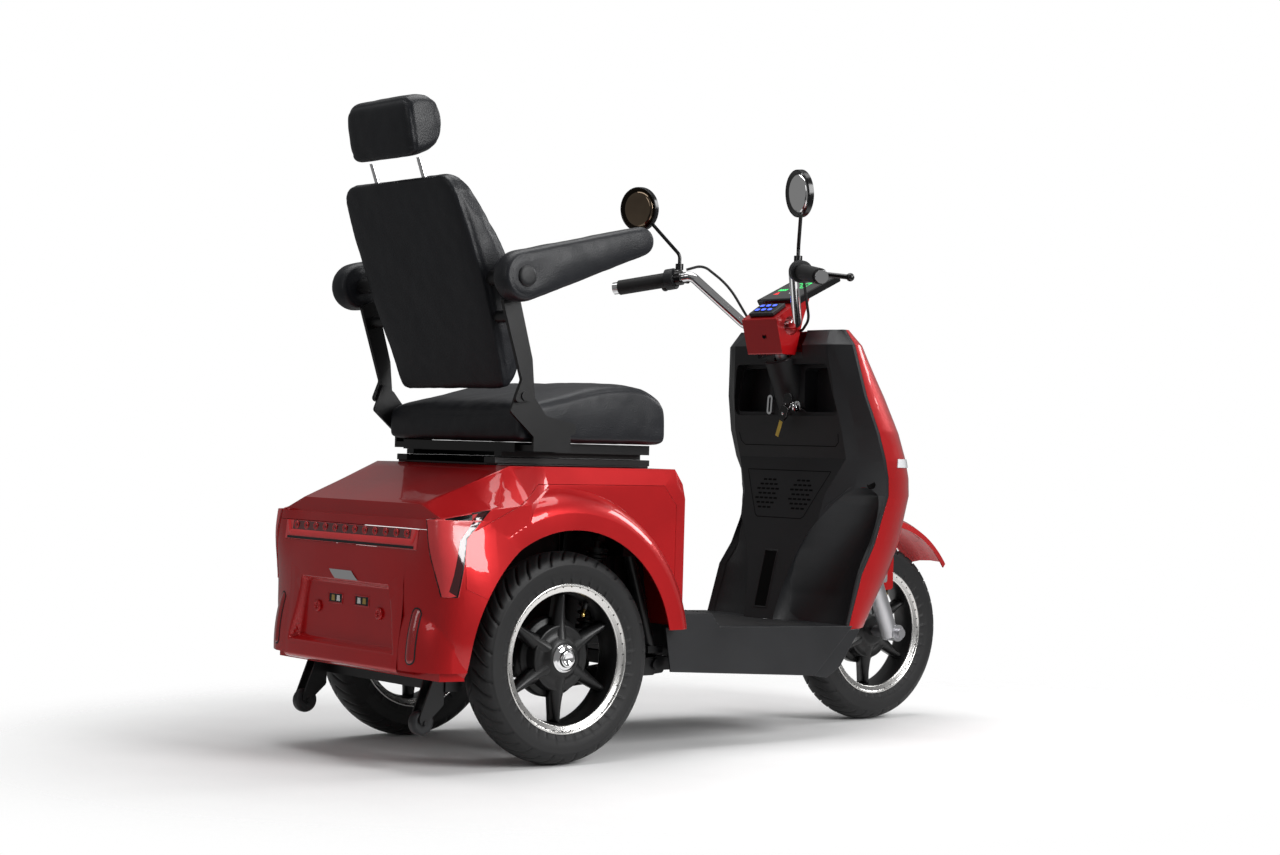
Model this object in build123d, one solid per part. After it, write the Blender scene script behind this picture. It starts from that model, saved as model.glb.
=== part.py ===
"""Electric three-wheel scooter with a captain seat: one STEP file for each sub-part.

Millimetres. While it is modelled, x runs forward from the rear axle, y to the left and z up
from the floor. Each part is written with the origin on the floor under the middle of the machine.
"""
import os
from math import cos, radians, sin, sqrt, tan

from build123d import *

# ---- running gear -------------------------------------------------------------------------
wheelbase = 1103
rear_track = 500
tyre_diameter = 410
tyre_width = 82
rim_flange_radius = 144
rim_width = 70
bead_seat_radius = 127
rim_wall = 4
tyre_wall = 8
spoke_count = 6
spoke_width = 18
hub_radius = 30
hub_width = 64
hub_cover_radius = 53
drum_radius = 78
drum_depth = 34
axle_tube_radius = 28
half_shaft_radius = 14
front_axle_radius = 7
running_clearance = 0.1
seat_gap = 0.3
moving_gap = 5

# ---- steering -----------------------------------------------------------------------------
rake = 24
trail = 79
steering_lock = 38
steerer_radius = 15
head_tube_radius = 27
head_tube_low_z = 590
head_tube_high_z = 740
fork_leg_spacing = 170
fork_slider_radius = 20
fork_tube_radius = 14
fork_crown_z = 503
fork_crown_height = 26
bar_diameter = 22
grip_radius = 17
grip_length = 118
bar_half_width = 326
bar_height = 978
bar_end_x = wheelbase - 498
clamp_height = 892
clamp_radius = 21
mirror_radius = 50
cable_radius = 3
keypad_rise = 9

# ---- body shells --------------------------------------------------------------------------
shell_wall = 3
panel_gap = 0.8
deck_height = 571
deck_half_width = 233
deck_rear_x = -108
box_front_x = 330
tail_rear_x = -330
tail_half_width = 319
tail_bottom = 178
lip_x = -294
lip_bottom = deck_height - 119
lip_top = deck_height - 74
parting_height = deck_height - 33
skirt_bottom = 254
arch_radius = 247
flare_half_width = 301
flare_band = 62
lens_proud = 1.5
led_bar_half = 219
led_bar_height = lip_bottom - 17

# ---- footboard and leg shield -------------------------------------------------------------
floor_height = 250
floor_half_width = 240
floor_rear_x = 300
shield_top = 884
tunnel_foot_x = wheelbase - 343
floor_step = 279
fairing_seam = ((wheelbase - 286, 240), (wheelbase - 397, 138))
arch_reach = 288
notch_floor = 824
notch_radius = 72
cover_wall = 3
recess_floor = wheelbase - 271
pocket_floor = wheelbase - 231

# ---- frame --------------------------------------------------------------------------------
rail_spacing = 310
rail_size = 26
rail_height = 172
upper_rail_height = deck_height - 93
battery_length = 210
battery_width = 270
battery_height = 225
battery_floor = 215
motor_radius = 68
motor_length = 190
arm_spacing = 372
anti_tip_spacing = 408
roller_radius = 24
roller_width = 22
roller_height = 91
roller_x = -280

# ---- seat ---------------------------------------------------------------------------------
seat_width = 456
seat_rear_x = -88
seat_front_x = 287
seat_bottom = deck_height + 46
slide_back = 60
slide_forward = 90
rail_pitch = 300
base_plate_thickness = 4
recline = 21
hinge_x = -91
hinge_z = seat_bottom + 88
back_length = 410
back_thickness = 118
back_half_width = 200
headrest_width = 226
headrest_height = 118
headrest_depth = 84
headrest_lean = 12
headrest_rise = 122
post_spacing = 162
post_radius = 5
armrest_y = 280
armrest_root_radius = 49
armrest_tip_radius = 29
armrest_length = 300
armrest_width = 52
armrest_fold = 92
arm_tilt = 17
armrest_pivot_x = -138
armrest_pivot_z = hinge_z + 223
arm_pivot = (armrest_pivot_x, armrest_pivot_z)
recline_back = 20
recline_forward = 38

axle_z = tyre_diameter / 2
rear_wheel_y = rear_track / 2
front_overhang = 213
centre_x = (wheelbase + front_overhang + tail_rear_x) / 2


# ---- small makers -------------------------------------------------------------------------
def outline(points, radius=0):
    """A flat face from corner points, with its corners rounded when a radius is given."""
    if radius:
        return make_face(FilletPolyline(*points, radius=radius, close=True))
    return make_face(Polyline(*points, close=True))


def slab(face, low_y, high_y):
    """A side-view face (x, z) made solid from low_y to high_y."""
    return extrude(Plane.XZ.offset(-high_y) * face, high_y - low_y)


def plate(face, low_z, high_z):
    """A plan-view face (x, y) made solid from low_z to high_z."""
    return extrude(Pos(0, 0, low_z) * face, high_z - low_z)


def section(face, low_x, high_x):
    """A front-view face (y, z) made solid from low_x to high_x."""
    return extrude(Plane.YZ.offset(low_x) * face, high_x - low_x)


def block(low, high):
    """A box from its lowest to its highest corner."""
    size = [b - a for a, b in zip(low, high)]
    middle = [(a + b) / 2 for a, b in zip(low, high)]
    return Pos(*middle) * Box(*size)


def rod(start, end, radius):
    """A round bar between two points."""
    start, end = Vector(*start), Vector(*end)
    return Solid.make_cylinder(radius, (end - start).length, Plane(origin=start, z_dir=end - start))


def pipe(start, end, radius, bore):
    """A round tube between two points."""
    return rod(start, end, radius) - rod(start, end, bore)


def turned(points, x, y, z):
    """A ring about a crosswise axis, from points of (radius, distance along y)."""
    ring = revolve(make_face(Polyline(*points, close=True)), Axis.Y)
    return Pos(x, y, z) * ring


def swept(path, radius):
    """A round bar along a path."""
    start = path @ 0
    return sweep(Plane(origin=start, z_dir=path % 0) * Circle(radius), path=path)


def bent_bar(points, radius, bend):
    """A round bar along straight runs joined by bends."""
    return swept(FilletPolyline(*points, radius=bend), radius)


def mirrored(shape):
    """The same form on the other side of the machine."""
    return mirror(shape, Plane.XZ)


def both(shape):
    """A form and its mirror image."""
    return Compound(children=list(shape.solids()) + list(mirrored(shape).solids()))


def group(*shapes):
    """Separate solids kept in one node."""
    solids = []
    for shape in shapes:
        solids += list(shape.solids())
    return Compound(children=solids)


# ---- steering geometry --------------------------------------------------------------------
def steer_x(z):
    """Where the steering axis passes at a height."""
    return wheelbase + trail - z * tan(radians(rake))


def steer_point(z, forward=0, y=0):
    """A point beside the steering axis, stepped square to it."""
    return (steer_x(z) + forward * cos(radians(rake)), y, z + forward * sin(radians(rake)))


# ---- wheels -------------------------------------------------------------------------------
def tyre(x, y):
    """A hollow road tyre whose beads sit on the rim."""
    crown, half = tyre_diameter / 2, tyre_width / 2
    bead, bead_half = bead_seat_radius + seat_gap, rim_width / 2 - rim_wall - seat_gap
    outer = [
        (bead, -bead_half), (rim_flange_radius, -bead_half), (rim_flange_radius + 12, -half + 3),
        (crown - 44, -half), (crown - 24, -half + 3), (crown - 9, -half + 15), (crown - 1, -half + 32),
        (crown, 0),
    ]
    outer += [(r, -w) for r, w in reversed(outer[:-1])]
    cavity = [
        (bead, -bead_half + tyre_wall), (rim_flange_radius + 8, -bead_half + tyre_wall - 2),
        (crown - 40, -half + tyre_wall), (crown - 17, -half + 18), (crown - tyre_wall - 3, 0),
    ]
    cavity += [(r, -w) for r, w in reversed(cavity[:-1])]
    ring = turned(outer, 0, 0, 0) - turned(cavity, 0, 0, 0)
    return Pos(x, y, axle_z) * ring


def rim(x, y, outward):
    """A six-spoke cast wheel; outward is +1 or -1, the side that shows."""
    half, flange, seat = rim_width / 2, rim_flange_radius, bead_seat_radius
    well = seat - 20
    profile = [
        (flange, -half), (flange, -half + rim_wall), (seat, -half + rim_wall),
        (seat, -half + 18), (well, -half + 26), (well, half - 26), (seat, half - 18),
        (seat, half - rim_wall), (flange, half - rim_wall), (flange, half),
        (seat - rim_wall - 2, half), (seat - rim_wall - 2, half - 16), (well - rim_wall, half - 24),
        (well - rim_wall, -half + 24), (seat - rim_wall - 2, -half + 16), (seat - rim_wall - 2, -half),
    ]
    wheel = turned(profile, 0, 0, 0)
    spoke = block((hub_radius - 6, -9, -spoke_width / 2), (well - rim_wall + 1, 9, spoke_width / 2))
    spokes = [Rot(0, 360 / spoke_count * i + 30, 0) * spoke for i in range(spoke_count)]
    hub = Rot(90, 0, 0) * Cylinder(hub_radius, hub_width)
    wheel = wheel + spokes + hub
    return Pos(x, y, axle_z) * wheel


def rear_wheel(side):
    """A driven wheel: its brake drum and the shaft that runs in the axle tube turn with it."""
    y = side * rear_wheel_y
    wheel = rim(0, y, side)
    face = hub_width / 2
    dish = rod((0, y, axle_z), (0, y + side * (face + 6), axle_z), hub_cover_radius - 8)
    dish += rod((0, y, axle_z), (0, y + side * face, axle_z), hub_cover_radius)
    cap = rod((0, y + side * face, axle_z), (0, y + side * (face + 16), axle_z), 21)
    drum_y = y - side * face
    drum = rod((0, y, axle_z), (0, drum_y, axle_z), drum_radius)
    drum -= rod((0, drum_y + side * (drum_depth - 8), axle_z), (0, drum_y - side, axle_z), drum_radius - 6)
    shaft = rod((0, y, axle_z), (0, side * (axle_tube_end - 60), axle_z), half_shaft_radius)
    return wheel + dish + cap + drum + shaft


axle_tube_end = rear_wheel_y - hub_width / 2 - 2
brake_plate_radius = drum_radius - 6 - 2


def rear_axle():
    """The axle tube with a brake back plate at each end and pads for the trailing arms."""
    bore = half_shaft_radius + running_clearance
    tube = pipe((0, -axle_tube_end, axle_z), (0, axle_tube_end, axle_z), axle_tube_radius, bore)
    back = pipe((0, axle_tube_end - 6, axle_z), (0, axle_tube_end, axle_z), brake_plate_radius, bore)
    shoe = pipe(
        (0, axle_tube_end, axle_z), (0, axle_tube_end + drum_depth - 14, axle_z), brake_plate_radius, bore + 26
    )
    pad_y = arm_spacing / 2
    pad = block((-24, pad_y - 14, axle_z - 36), (24, pad_y + 14, axle_z))
    pad -= rod((0, 0, axle_z), (0, rear_wheel_y, axle_z), axle_tube_radius - 4)
    half = back + shoe + pad
    return tube + half + mirrored(half)


def drive_motor():
    """The geared drive motor that hangs behind the axle tube."""
    x, z = -108, axle_z + 8
    body = rod((x, -motor_length / 2, z), (x, motor_length / 2, z), motor_radius)
    fins = [rod((x, y, z), (x, y + 4, z), motor_radius + 5) for y in range(-80, 81, 16)]
    case = slab(outline([(-150, z - 55), (10, z - 52), (30, z), (10, z + 45), (-150, z + 55)], 18), -34, 34)
    return body + fins + case - rod((0, -60, axle_z), (0, 60, axle_z), axle_tube_radius + seat_gap)


# ---- frame --------------------------------------------------------------------------------
rail_y = rail_spacing / 2
arm_pivot_x = 292
post_top = deck_height - shell_wall - seat_gap
arm_pivot_z = 176
beam_x = -222
beam_z = 163


def head_point(z):
    return (steer_x(z), 0, z)


def frame():
    """Welded frame: floor rails, rise over the axle, uprights, down tube and head tube."""
    half = rail_size / 2
    route = [
        (wheelbase - 363, rail_height), (300, rail_height), (248, upper_rail_height), (beam_x, upper_rail_height),
    ]
    line = [(x, rail_y, z) for x, z in route]
    path = FilletPolyline(*line, radius=36)
    rail = sweep(Plane(origin=path @ 0, z_dir=path % 0) * Rectangle(rail_size, rail_size), path=path)
    rear_post = block((beam_x - half, rail_y - half, beam_z), (beam_x + half, rail_y + half, upper_rail_height))
    strut = rod((280, 200, 206), (214, 200, upper_rail_height - 75), 11)
    strut_foot = block((262, rail_y, 200), (300, 213, 214))
    strut_top = upper_rail_height - 8
    strut_head = slab(outline([(190, strut_top - 75), (232, strut_top - 75), (262, strut_top), (190, strut_top)]),
                      rail_y, 212)
    ears = slab(outline([(262, 150), (320, 150), (320, 198), (262, 198)], 10), rail_y, arm_spacing / 2 - 15)
    ears -= rod((arm_pivot_x, 0, arm_pivot_z), (arm_pivot_x, 300, arm_pivot_z), 11 + running_clearance)
    seat_posts = [
        rod((x, rail_pitch / 2 - 10, upper_rail_height), (x, rail_pitch / 2 - 10, post_top), 9)
        for x in (-60, 210)
    ]
    shock_ear = block((128, rail_y - 5, upper_rail_height - 37 + seat_gap), (172, rail_y + 44, upper_rail_height - rail_size / 2 + 1))
    side = rail + rear_post + strut + strut_foot + strut_head + ears + seat_posts + shock_ear
    crosses = [
        block((x - half, -rail_y, z - half), (x + half, rail_y, z + half))
        for x, z in ((wheelbase - 375, rail_height), (320, rail_height), (236, upper_rail_height), (beam_x, upper_rail_height))
    ]
    beam = block((beam_x - 18, -anti_tip_spacing / 2 - 20, beam_z - 16),
                 (beam_x + 18, anti_tip_spacing / 2 + 20, beam_z + 16))
    low, high = head_point(head_tube_low_z), head_point(head_tube_high_z)
    front = wheelbase - 221
    down = bent_bar([(front - 154, 0, rail_height), (front - 82, 0, rail_height + 30), (front, 0, 520),
                     (front + 6, 0, 590), head_point(650)], 16, 60)
    head = rod(low, high, head_tube_radius)
    bore = rod(head_point(head_tube_low_z - 60), head_point(head_tube_high_z + 30), steerer_radius + running_clearance)
    for x in (470, 640):
        under = floor_height - 4 - (x - floor_rear_x - 130) * 18 / (900 - floor_rear_x - 130) - seat_gap - 0.6
        crosses.append(block((x - 12, -rail_y, rail_height), (x + 12, rail_y, under)))
    for x in (100, 240):
        wide, low_z = battery_width / 2 + seat_gap, battery_floor - seat_gap
        strap = block((x - 15, -rail_y + half, low_z - 5), (x + 15, rail_y - half, upper_rail_height - half))
        crosses.append(strap - block((x - 16, -wide, low_z), (x + 16, wide, upper_rail_height)))
    return side + mirrored(side) + crosses + beam + down + head - bore


def swing_arms():
    """Two trailing arms and the cross tube that ties them."""
    y = arm_spacing / 2
    bar = slab(outline([(-30, 140), (60, 140), (arm_pivot_x + 24, 158), (arm_pivot_x + 24, 194),
                        (60, 169 - seat_gap), (-30, 169 - seat_gap)], 8), y - 14, y + 14)
    tie = rod((70, -y, 155), (70, y, 155), 13)
    bolt = rod((arm_pivot_x, rail_y + rail_size / 2 + seat_gap, arm_pivot_z), (arm_pivot_x, y + 22, arm_pivot_z), 11)
    arm = bar + bolt
    return arm + mirrored(arm) + tie


def rear_shocks():
    """Coil-over dampers between the trailing arms and the upper rails."""
    y = rail_y + 27
    low, high = Vector(118, y, 184), Vector(150, y, upper_rail_height - 46)
    span = (high - low).length
    cup, coil_low, coil_high, turns = 9, 0.3 * span, 0.88 * span, 9
    pitch = (coil_high - coil_low) / turns
    profile = [(0, 0), (8, 0), (8, coil_low - cup), (23, coil_low - cup), (23, coil_low)]
    for i in range(turns):
        z = coil_low + pitch * i
        profile += [(16, z), (16, z + pitch * 0.2), (22, z + pitch * 0.35), (22, z + pitch * 0.65)]
        profile += [(16, z + pitch * 0.8)]
    profile += [(16, coil_high), (23, coil_high), (23, coil_high + cup), (8, coil_high + cup)]
    profile += [(8, span), (0, span)]
    face = Plane.XZ * make_face(Polyline(*profile, close=True))
    shock = Plane(origin=low, z_dir=high - low) * revolve(face, Axis.Z)
    for end in (low, high):
        shock += rod((end.X, y - 11, end.Z), (end.X, y + 11, end.Z), 9)
    return both(shock)


def battery_pack():
    """The battery pack as one plain block between the rails."""
    low = battery_floor
    return block((70, -battery_width / 2, low), (70 + battery_length, battery_width / 2, low + battery_height))


def anti_tip_arms():
    """Brackets that hold the anti-tip rollers behind the cross beam."""
    y = anti_tip_spacing / 2
    inner = roller_width / 2 + 1
    shape = outline([(beam_x - 18, beam_z + 16), (beam_x - 18, beam_z - 40), (roller_x - 12, roller_height - 13),
                     (roller_x - 13, roller_height + 10), (beam_x - 40, beam_z + 16)], 9)
    cheeks = slab(shape, y - inner - 4, y - inner) + slab(shape, y + inner, y + inner + 4)
    web = block((beam_x - 26, y - inner - 1, beam_z - 20), (beam_x - 18, y + inner + 1, beam_z + 14))
    pin = rod((roller_x, y - inner - 7, roller_height), (roller_x, y + inner + 7, roller_height), 5)
    arm = cheeks + web + pin
    return both(arm)


def roller(side):
    """A rubber-treaded anti-tip roller with its hub."""
    half, r = roller_width / 2, roller_radius
    profile = [(5 + running_clearance, -half), (r - 5, -half), (r - 1, -half + 3), (r, -half + 7),
               (r, half - 7), (r - 1, half - 3), (r - 5, half), (5 + running_clearance, half)]
    return turned(profile, roller_x, side * anti_tip_spacing / 2, roller_height)


# ---- rear body ----------------------------------------------------------------------------
# distance behind the axle to the body's outer half-width and height, and the deck's half-width and height there
shoulder_rows = (
    (294, 280, lip_bottom + 17, 203, lip_top), (201, 300, lip_bottom + 38, 215, deck_height - 38),
    (108, 300, lip_bottom + 48, 227, deck_height), (30, 250, deck_height - 36, 232, deck_height),
    (-303, 240, deck_height - 34, deck_half_width, deck_height),
    (-box_front_x, 236, deck_height - 60, deck_half_width - 6, deck_height - 30),
)

# height to the tail's rear at its middle, near its side, at its corner, and its widest half-width
tail_rows = (
    (tail_bottom, -268, -262, (-250, 284), 304), (199, -302, -292, (-262, 296), 312),
    (240, -322, -313, (-283, 298), 318), (337, -328, -319, (-290, 298), tail_half_width),
    (lip_bottom - 52, -323, -318, (-302, 291), 311), (lip_bottom - 16, -315, -313, (-307, 285), 304),
    (lip_bottom + 17, -310, -309, (-306, 280), 300),
)


def rear_form(inset):
    """The rear body's outer form, or the same form set in by a wall."""
    rows = []
    for back, half, low, deck_half, high in shoulder_rows:
        x = -back + (inset if back == 294 else 0) - (inset if back == -box_front_x else 0)
        w, d, h = half - inset, deck_half - inset, high - inset
        rows.append(Plane.YZ.offset(x) * outline([(-w, 60), (-w, low - inset), (-d, h), (d, h), (w, low - inset),
                                                   (w, 60)]))
    core = loft(rows, ruled=True)
    levels = []
    for z, middle, near, (corner_x, corner_y), half in tail_rows:
        z += inset if z == tail_bottom else 0
        z -= inset if z == lip_bottom + 17 else 0
        x, y, side_y = corner_x + inset * 0.7, corner_y - inset * 0.7, half - inset
        right = [(-20, 300 - inset), (-120, side_y - 8), (-190, side_y - 1), (x + 40, (y + 3 * side_y) / 4), (x, y),
                 ((x + near + inset) / 2 - 5, 263), (near + inset - 2, 210), (middle + inset, 110)]
        line = right + [(middle + inset, 0)] + [(x, -y) for x, y in reversed(right)]
        levels.append(Pos(0, 0, z) * make_face([Spline(*line), Line(line[-1], line[0])]))
    return core + loft(levels) + flare(inset) + mirrored(flare(inset)) - plate_recess(inset)


def flare(inset):
    """The rounded flare over a rear wheel, turned about the axle."""
    half, r = flare_half_width - inset, arch_radius + flare_band - inset
    edge = Spline((r + 22, half - 68), (r + 10, half - 38), (r - 8, half - 12), (r - 30, half))
    face = make_face([edge, Polyline((r - 30, half), (0, half), (0, 150), (r + 26, 150), (r + 22, half - 68))])
    ring = Pos(0, 0, axle_z) * revolve(face, Axis.Y)
    return ring & block((-400, 100, 190), (box_front_x - 20 - inset, 400, 700))


def wheel_well():
    """The opening that a rear wheel stands in."""
    return rod((0, 170, axle_z), (0, 400, axle_z), arch_radius)


def rear_shell(inset=0, wall=shell_wall):
    """The hollow rear body before it is split into panels."""
    hollow = rear_form(inset + wall)
    below = block((-220, -400, 0), (400, 400, skirt_bottom)) + block((-400, -400, 0), (400, 400, tail_bottom - 4))
    floor_open = block((lip_x + 10, -deck_half_width + 8, 0), (box_front_x - 6, deck_half_width - 8, 300))
    return rear_form(inset) - hollow - below - wheel_well() - mirrored(wheel_well()) - floor_open


def cover_zone(gap):
    """The part of the rear body that the top cover takes."""
    line = [(lip_x - 60, lip_bottom - gap), (lip_x + 60, lip_bottom - gap), (-130, lip_top + 3 - gap),
            (-60, parting_height - gap), (box_front_x - 60, parting_height - gap),
            (box_front_x - 26 - gap, parting_height - 40), (box_front_x - 26 - gap, 0), (500, 0), (500, 700),
            (lip_x - 60, 700)]
    return slab(outline(line), -400, 400)


def lamp_zone(gap):
    """The corner lamp's outline seen from the side, as a block that cuts the shell."""
    top = lip_bottom + 17 + gap
    line = [(-400, top), (-300, top + 2), (-201 + gap, top + 23), (-255 + gap, lip_bottom - 16),
            (-275 + gap, lip_bottom - 122 - gap), (-400, lip_bottom - 130 - gap)]
    seen_side = slab(outline(line), 0, 400)
    return seen_side & section(outline([(252 - gap, top + 11), (286 - gap, lip_bottom - 122 - gap),
                                        (400, lip_bottom - 130), (400, lip_top + 3), (240, lip_top + 3)]), -400, 0)


def bar_zone(gap):
    """The slot that the light bar fills between the corner lamps."""
    return block((-400, -led_bar_half - 12 - gap, led_bar_height - 22 - gap),
                 (-280, led_bar_half + 12 + gap, lip_bottom - panel_gap - 0.2 + gap))


def tail_seam(gap):
    """Everything behind the seam between the tail and the side panels."""
    return slab(outline([(-500, 100), (-100 - gap, 100), (-213 - gap, 324), (-262 - gap, 345), (-262 - gap, 700),
                         (-500, 700)]), -400, 400)


def plate_recess(inset):
    """The shallow trapezoid in the tail that a number plate goes in, grown by the wall on its inner side."""
    face = outline([(-152, 345), (152, 345), (186, 214), (-186, 214)])
    return section(offset(face, inset), tail_rear_x - 5, tail_rear_x + recess_depth + inset)


recess_depth = 18
plate_hole_spacing = 216
plate_hole_radius = 3.5
plate_hole_z = 287


def rear_panels():
    """Top cover, two side panels, tail and rear lamps, all cut from one hollow form."""
    shell = rear_shell()
    raised = rear_shell(-lens_proud, shell_wall + lens_proud)
    below = shell - cover_zone(panel_gap)
    lamp = lamp_zone(0)
    lamps = raised & (lamp + mirrored(lamp))
    bar = raised & bar_zone(-seat_gap) - lamp_zone(seat_gap) - mirrored(lamp_zone(seat_gap))
    cuts = lamp_zone(seat_gap) + mirrored(lamp_zone(seat_gap)) + bar_zone(seat_gap)
    cover = (shell & cover_zone(0)) - cuts
    tail = (below & tail_seam(0)) - cuts
    for y in (-plate_hole_spacing / 2, plate_hole_spacing / 2):
        tail -= rod((tail_rear_x - 10, y, plate_hole_z), (tail_rear_x + 40, y, plate_hole_z), plate_hole_radius)
    sides = below - tail_seam(-panel_gap) - cuts
    right = sides & block((-400, -400, 0), (400, 0, 700))
    left = sides & block((-400, 0, 0), (400, 400, 700))
    return cover, right, left, tail, lamps, bar


# ---- footboard and leg shield -------------------------------------------------------------
def floor_outline():
    """The footboard seen from the side: skirt, step in front of the seat box, floor and nose."""
    riser = box_front_x + panel_gap
    return [(floor_rear_x, 163), (floor_rear_x - 16, skirt_bottom - panel_gap), (riser, skirt_bottom - panel_gap),
            (riser, floor_step), (floor_rear_x + 106, floor_step), (floor_rear_x + 132, floor_height),
            (fairing_seam[0][0], fairing_seam[0][1]), (fairing_seam[1][0], fairing_seam[1][1])]


def footboard():
    """The flat floor tray with its side skirts and rear step."""
    w, t, front = floor_half_width, 4, wheelbase - 203
    riser = box_front_x + panel_gap
    outer = slab(outline(floor_outline()), -w, w)
    under = [(riser, 0), (riser, 205), (riser + t, 205), (riser + t, floor_step - t), (floor_rear_x + 104, floor_step - t),
             (floor_rear_x + 130, floor_height - t), (front, floor_height - 18 - t), (front, 0)]
    hollow = slab(outline(under), -w + t, w - t)
    behind = block((0, -w + t, 0), (riser, w - t, 400))
    column_foot = block((tunnel_foot_x - 20, -36, 0), (front, 36, 400))
    return outer - hollow - behind - column_foot


def lower_fairing():
    """The dark skirt under the front cover, in front of the footboard's nose."""
    w = 227
    (top_x, top_z), (low_x, low_z) = fairing_seam
    line = [(top_x + panel_gap, top_z - 10), (low_x + panel_gap, low_z), (low_x + 49, 130), (low_x + 88, 152),
            (top_x + 36, 232 - seat_gap),
            (top_x + 6, 232 - seat_gap)]
    body = slab(outline(line), -w, w)
    hollow = slab(offset(outline(line), 3), -w + cover_wall, w - cover_wall)
    web = block((low_x + 38, -w, 100), (low_x + 42, w, 300)) & slab(outline(line), -w, w)
    tyre_room = rod((wheelbase, -300, axle_z), (wheelbase, 300, axle_z), arch_reach)
    column_room = block((low_x - 6, -24, 100), (low_x + 54, 24, 300))
    return body - hollow + (web - tyre_room - column_room)


def leg_shield():
    """The rear-facing shield with its column, foot wells and glove recess."""
    shell = shield_form(0) - shield_form(cover_wall)
    floor_room = slab(offset(outline(floor_outline()), seat_gap), -400, 400)
    stem_hole = rod(head_point(shield_top - 134), head_point(shield_top), steerer_radius + moving_gap + 2)
    return shell - floor_room - stem_hole


# height, then how far the rear face, the bevel and the front edge lie behind the front axle, each with its half-width
shield_setbacks = (
    (shield_top, 273, 132, 267, 148, 257, 165), (850, 299, 146, 291, 168, 260, 198),
    (739, 285, 162, 267, 187, 241, 220), (660, 268, 173, 248, 194, 216, 236), (600, 252, 172, 233, 193, 195, 238),
    (560, 262, 150, 231, 188, 179, 232), (521, 273, 130, 235, 178, 167, 222), (414, 300, 120, 261, 168, 207, 222),
    (350, 316, 120, 291, 168, 249, 227), (232, 345, 120, 319, 168, 286, 226),
)
shield_rows = tuple((z, wheelbase - rear, rear_half, wheelbase - bevel, bevel_half, wheelbase - edge, half)
                    for z, rear, rear_half, bevel, bevel_half, edge, half in shield_setbacks)


def shield_form(inset):
    """The block between the rider and the front cover's edge, or the same form set in by its wall."""
    sections = []
    for z, rear, rear_half, bevel, bevel_half, edge, half in shield_rows:
        if z == shield_top:
            z -= inset
        if z == 232:
            z -= inset
        front = edge + (20 if inset else 0)
        right = [(front, -half + inset), (edge - 8, -half + inset), (bevel + inset * 0.7, -bevel_half + inset * 0.7),
                 (rear + inset, -rear_half + inset * 0.4)]
        sections.append(Pos(0, 0, z) * outline(right + [(x, -y) for x, y in reversed(right)]))
    body = loft(sections, ruled=True) + glove_pockets(cover_wall - inset, cover_wall - inset) - glove_recess(inset)
    behind_edge = [(row[5] - 10, row[0]) for row in shield_rows[:7]]
    housing = rod(head_point(600 - inset * 20), head_point(notch_floor), head_tube_radius + 14 - inset)
    body += housing & slab(outline([(wheelbase - 503, 500), (wheelbase - 503, shield_top)] + behind_edge), -100, 100)
    body -= rod(head_point(notch_floor - inset), head_point(1000), notch_radius + inset)
    return body - foot_well(1, inset) - foot_well(-1, inset)


def glove_pockets(grow, deeper):
    """The deep pocket at each side of the glove recess, grown all round and made deeper."""
    opening = offset(outline([(56, 800), (142, 800), (162, 702), (56, 702)], 10), grow)
    pocket = section(opening, recess_floor - 4, pocket_floor + deeper)
    return pocket + mirrored(pocket)


def glove_recess(inset):
    """The open compartment under the bar: a shallow middle round the lock and a deep pocket at each side."""
    opening = outline([(-145, 808), (145, 808), (168, 694), (-168, 694)], 14)
    return section(offset(opening, inset), wheelbase - 403, recess_floor + inset) + glove_pockets(inset, inset)


def foot_well(side, inset):
    """The hollow for a foot beside the column, open to the side at the shield's rim."""
    sections = []
    for z, y, rx, ry in ((215, 150, 80, 104), (350, 152, 82, 86), (450, 156, 78, 66), (530, 164, 58, 46),
                         (578, 176, 16, 16)):
        edge, half = edge_at(z)
        reach = rx * sqrt(max(0.0, 1 - ((half - y) / (ry + 4)) ** 2))
        centre = edge - 12 - reach
        sections.append(Pos(centre, side * y, z) * Ellipse(rx + inset, ry + inset))
    return loft(sections)


def edge_at(z):
    """The shield's front edge x and half-width at a height, read between its rows."""
    for (z1, *_, x1, w1), (z0, *_, x0, w0) in zip(shield_rows, shield_rows[1:]):
        if z >= z0 or z0 == 232:
            t = (z - z0) / (z1 - z0)
            return x0 + (x1 - x0) * t, w0 + (w1 - w0) * t


# height, and how far the cover's nose lies behind the front axle
nose_setbacks = ((shield_top, 198), (850, 163), (739, 75), (660, 33), (600, 7), (560, -9), (521, -19),
             (414, 5), (350, 37), (232, 133))
nose_line = tuple((z, wheelbase - back) for z, back in nose_setbacks)


def front_cover():
    """The curved front cover with its wheel opening."""
    neck = rod(head_point(notch_floor), head_point(1000), notch_radius)
    shell = cover_form(0) - cover_form(cover_wall) - front_opening() - neck
    for window in lamp_windows(seat_gap):
        shell -= window
    return shell


def cover_form(inset):
    """Stacked half ellipses from the floor to the top of the front cover."""
    sections = []
    for (z, *_, edge, half), (_, nose) in zip(shield_rows, nose_line):
        edge += panel_gap - inset * 2
        if z == shield_top:
            z -= inset
        if z == 232:
            z -= inset * 2
        a, b = nose - edge - inset, half - inset
        arc = EllipticalCenterArc((edge, 0), a, b, start_angle=-90, arc_size=180)
        sections.append(Pos(0, 0, z) * make_face([arc, Line((edge, b), (edge, -b))]))
    return loft(sections, ruled=True)


def front_opening():
    """The room that the front wheel and its guard turn in."""
    half = 168
    arch = rod((wheelbase, -half, axle_z), (wheelbase, half, axle_z), arch_reach)
    return arch + block((wheelbase - 400, -half, 0), (wheelbase + 300, half, axle_z + 20))


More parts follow.
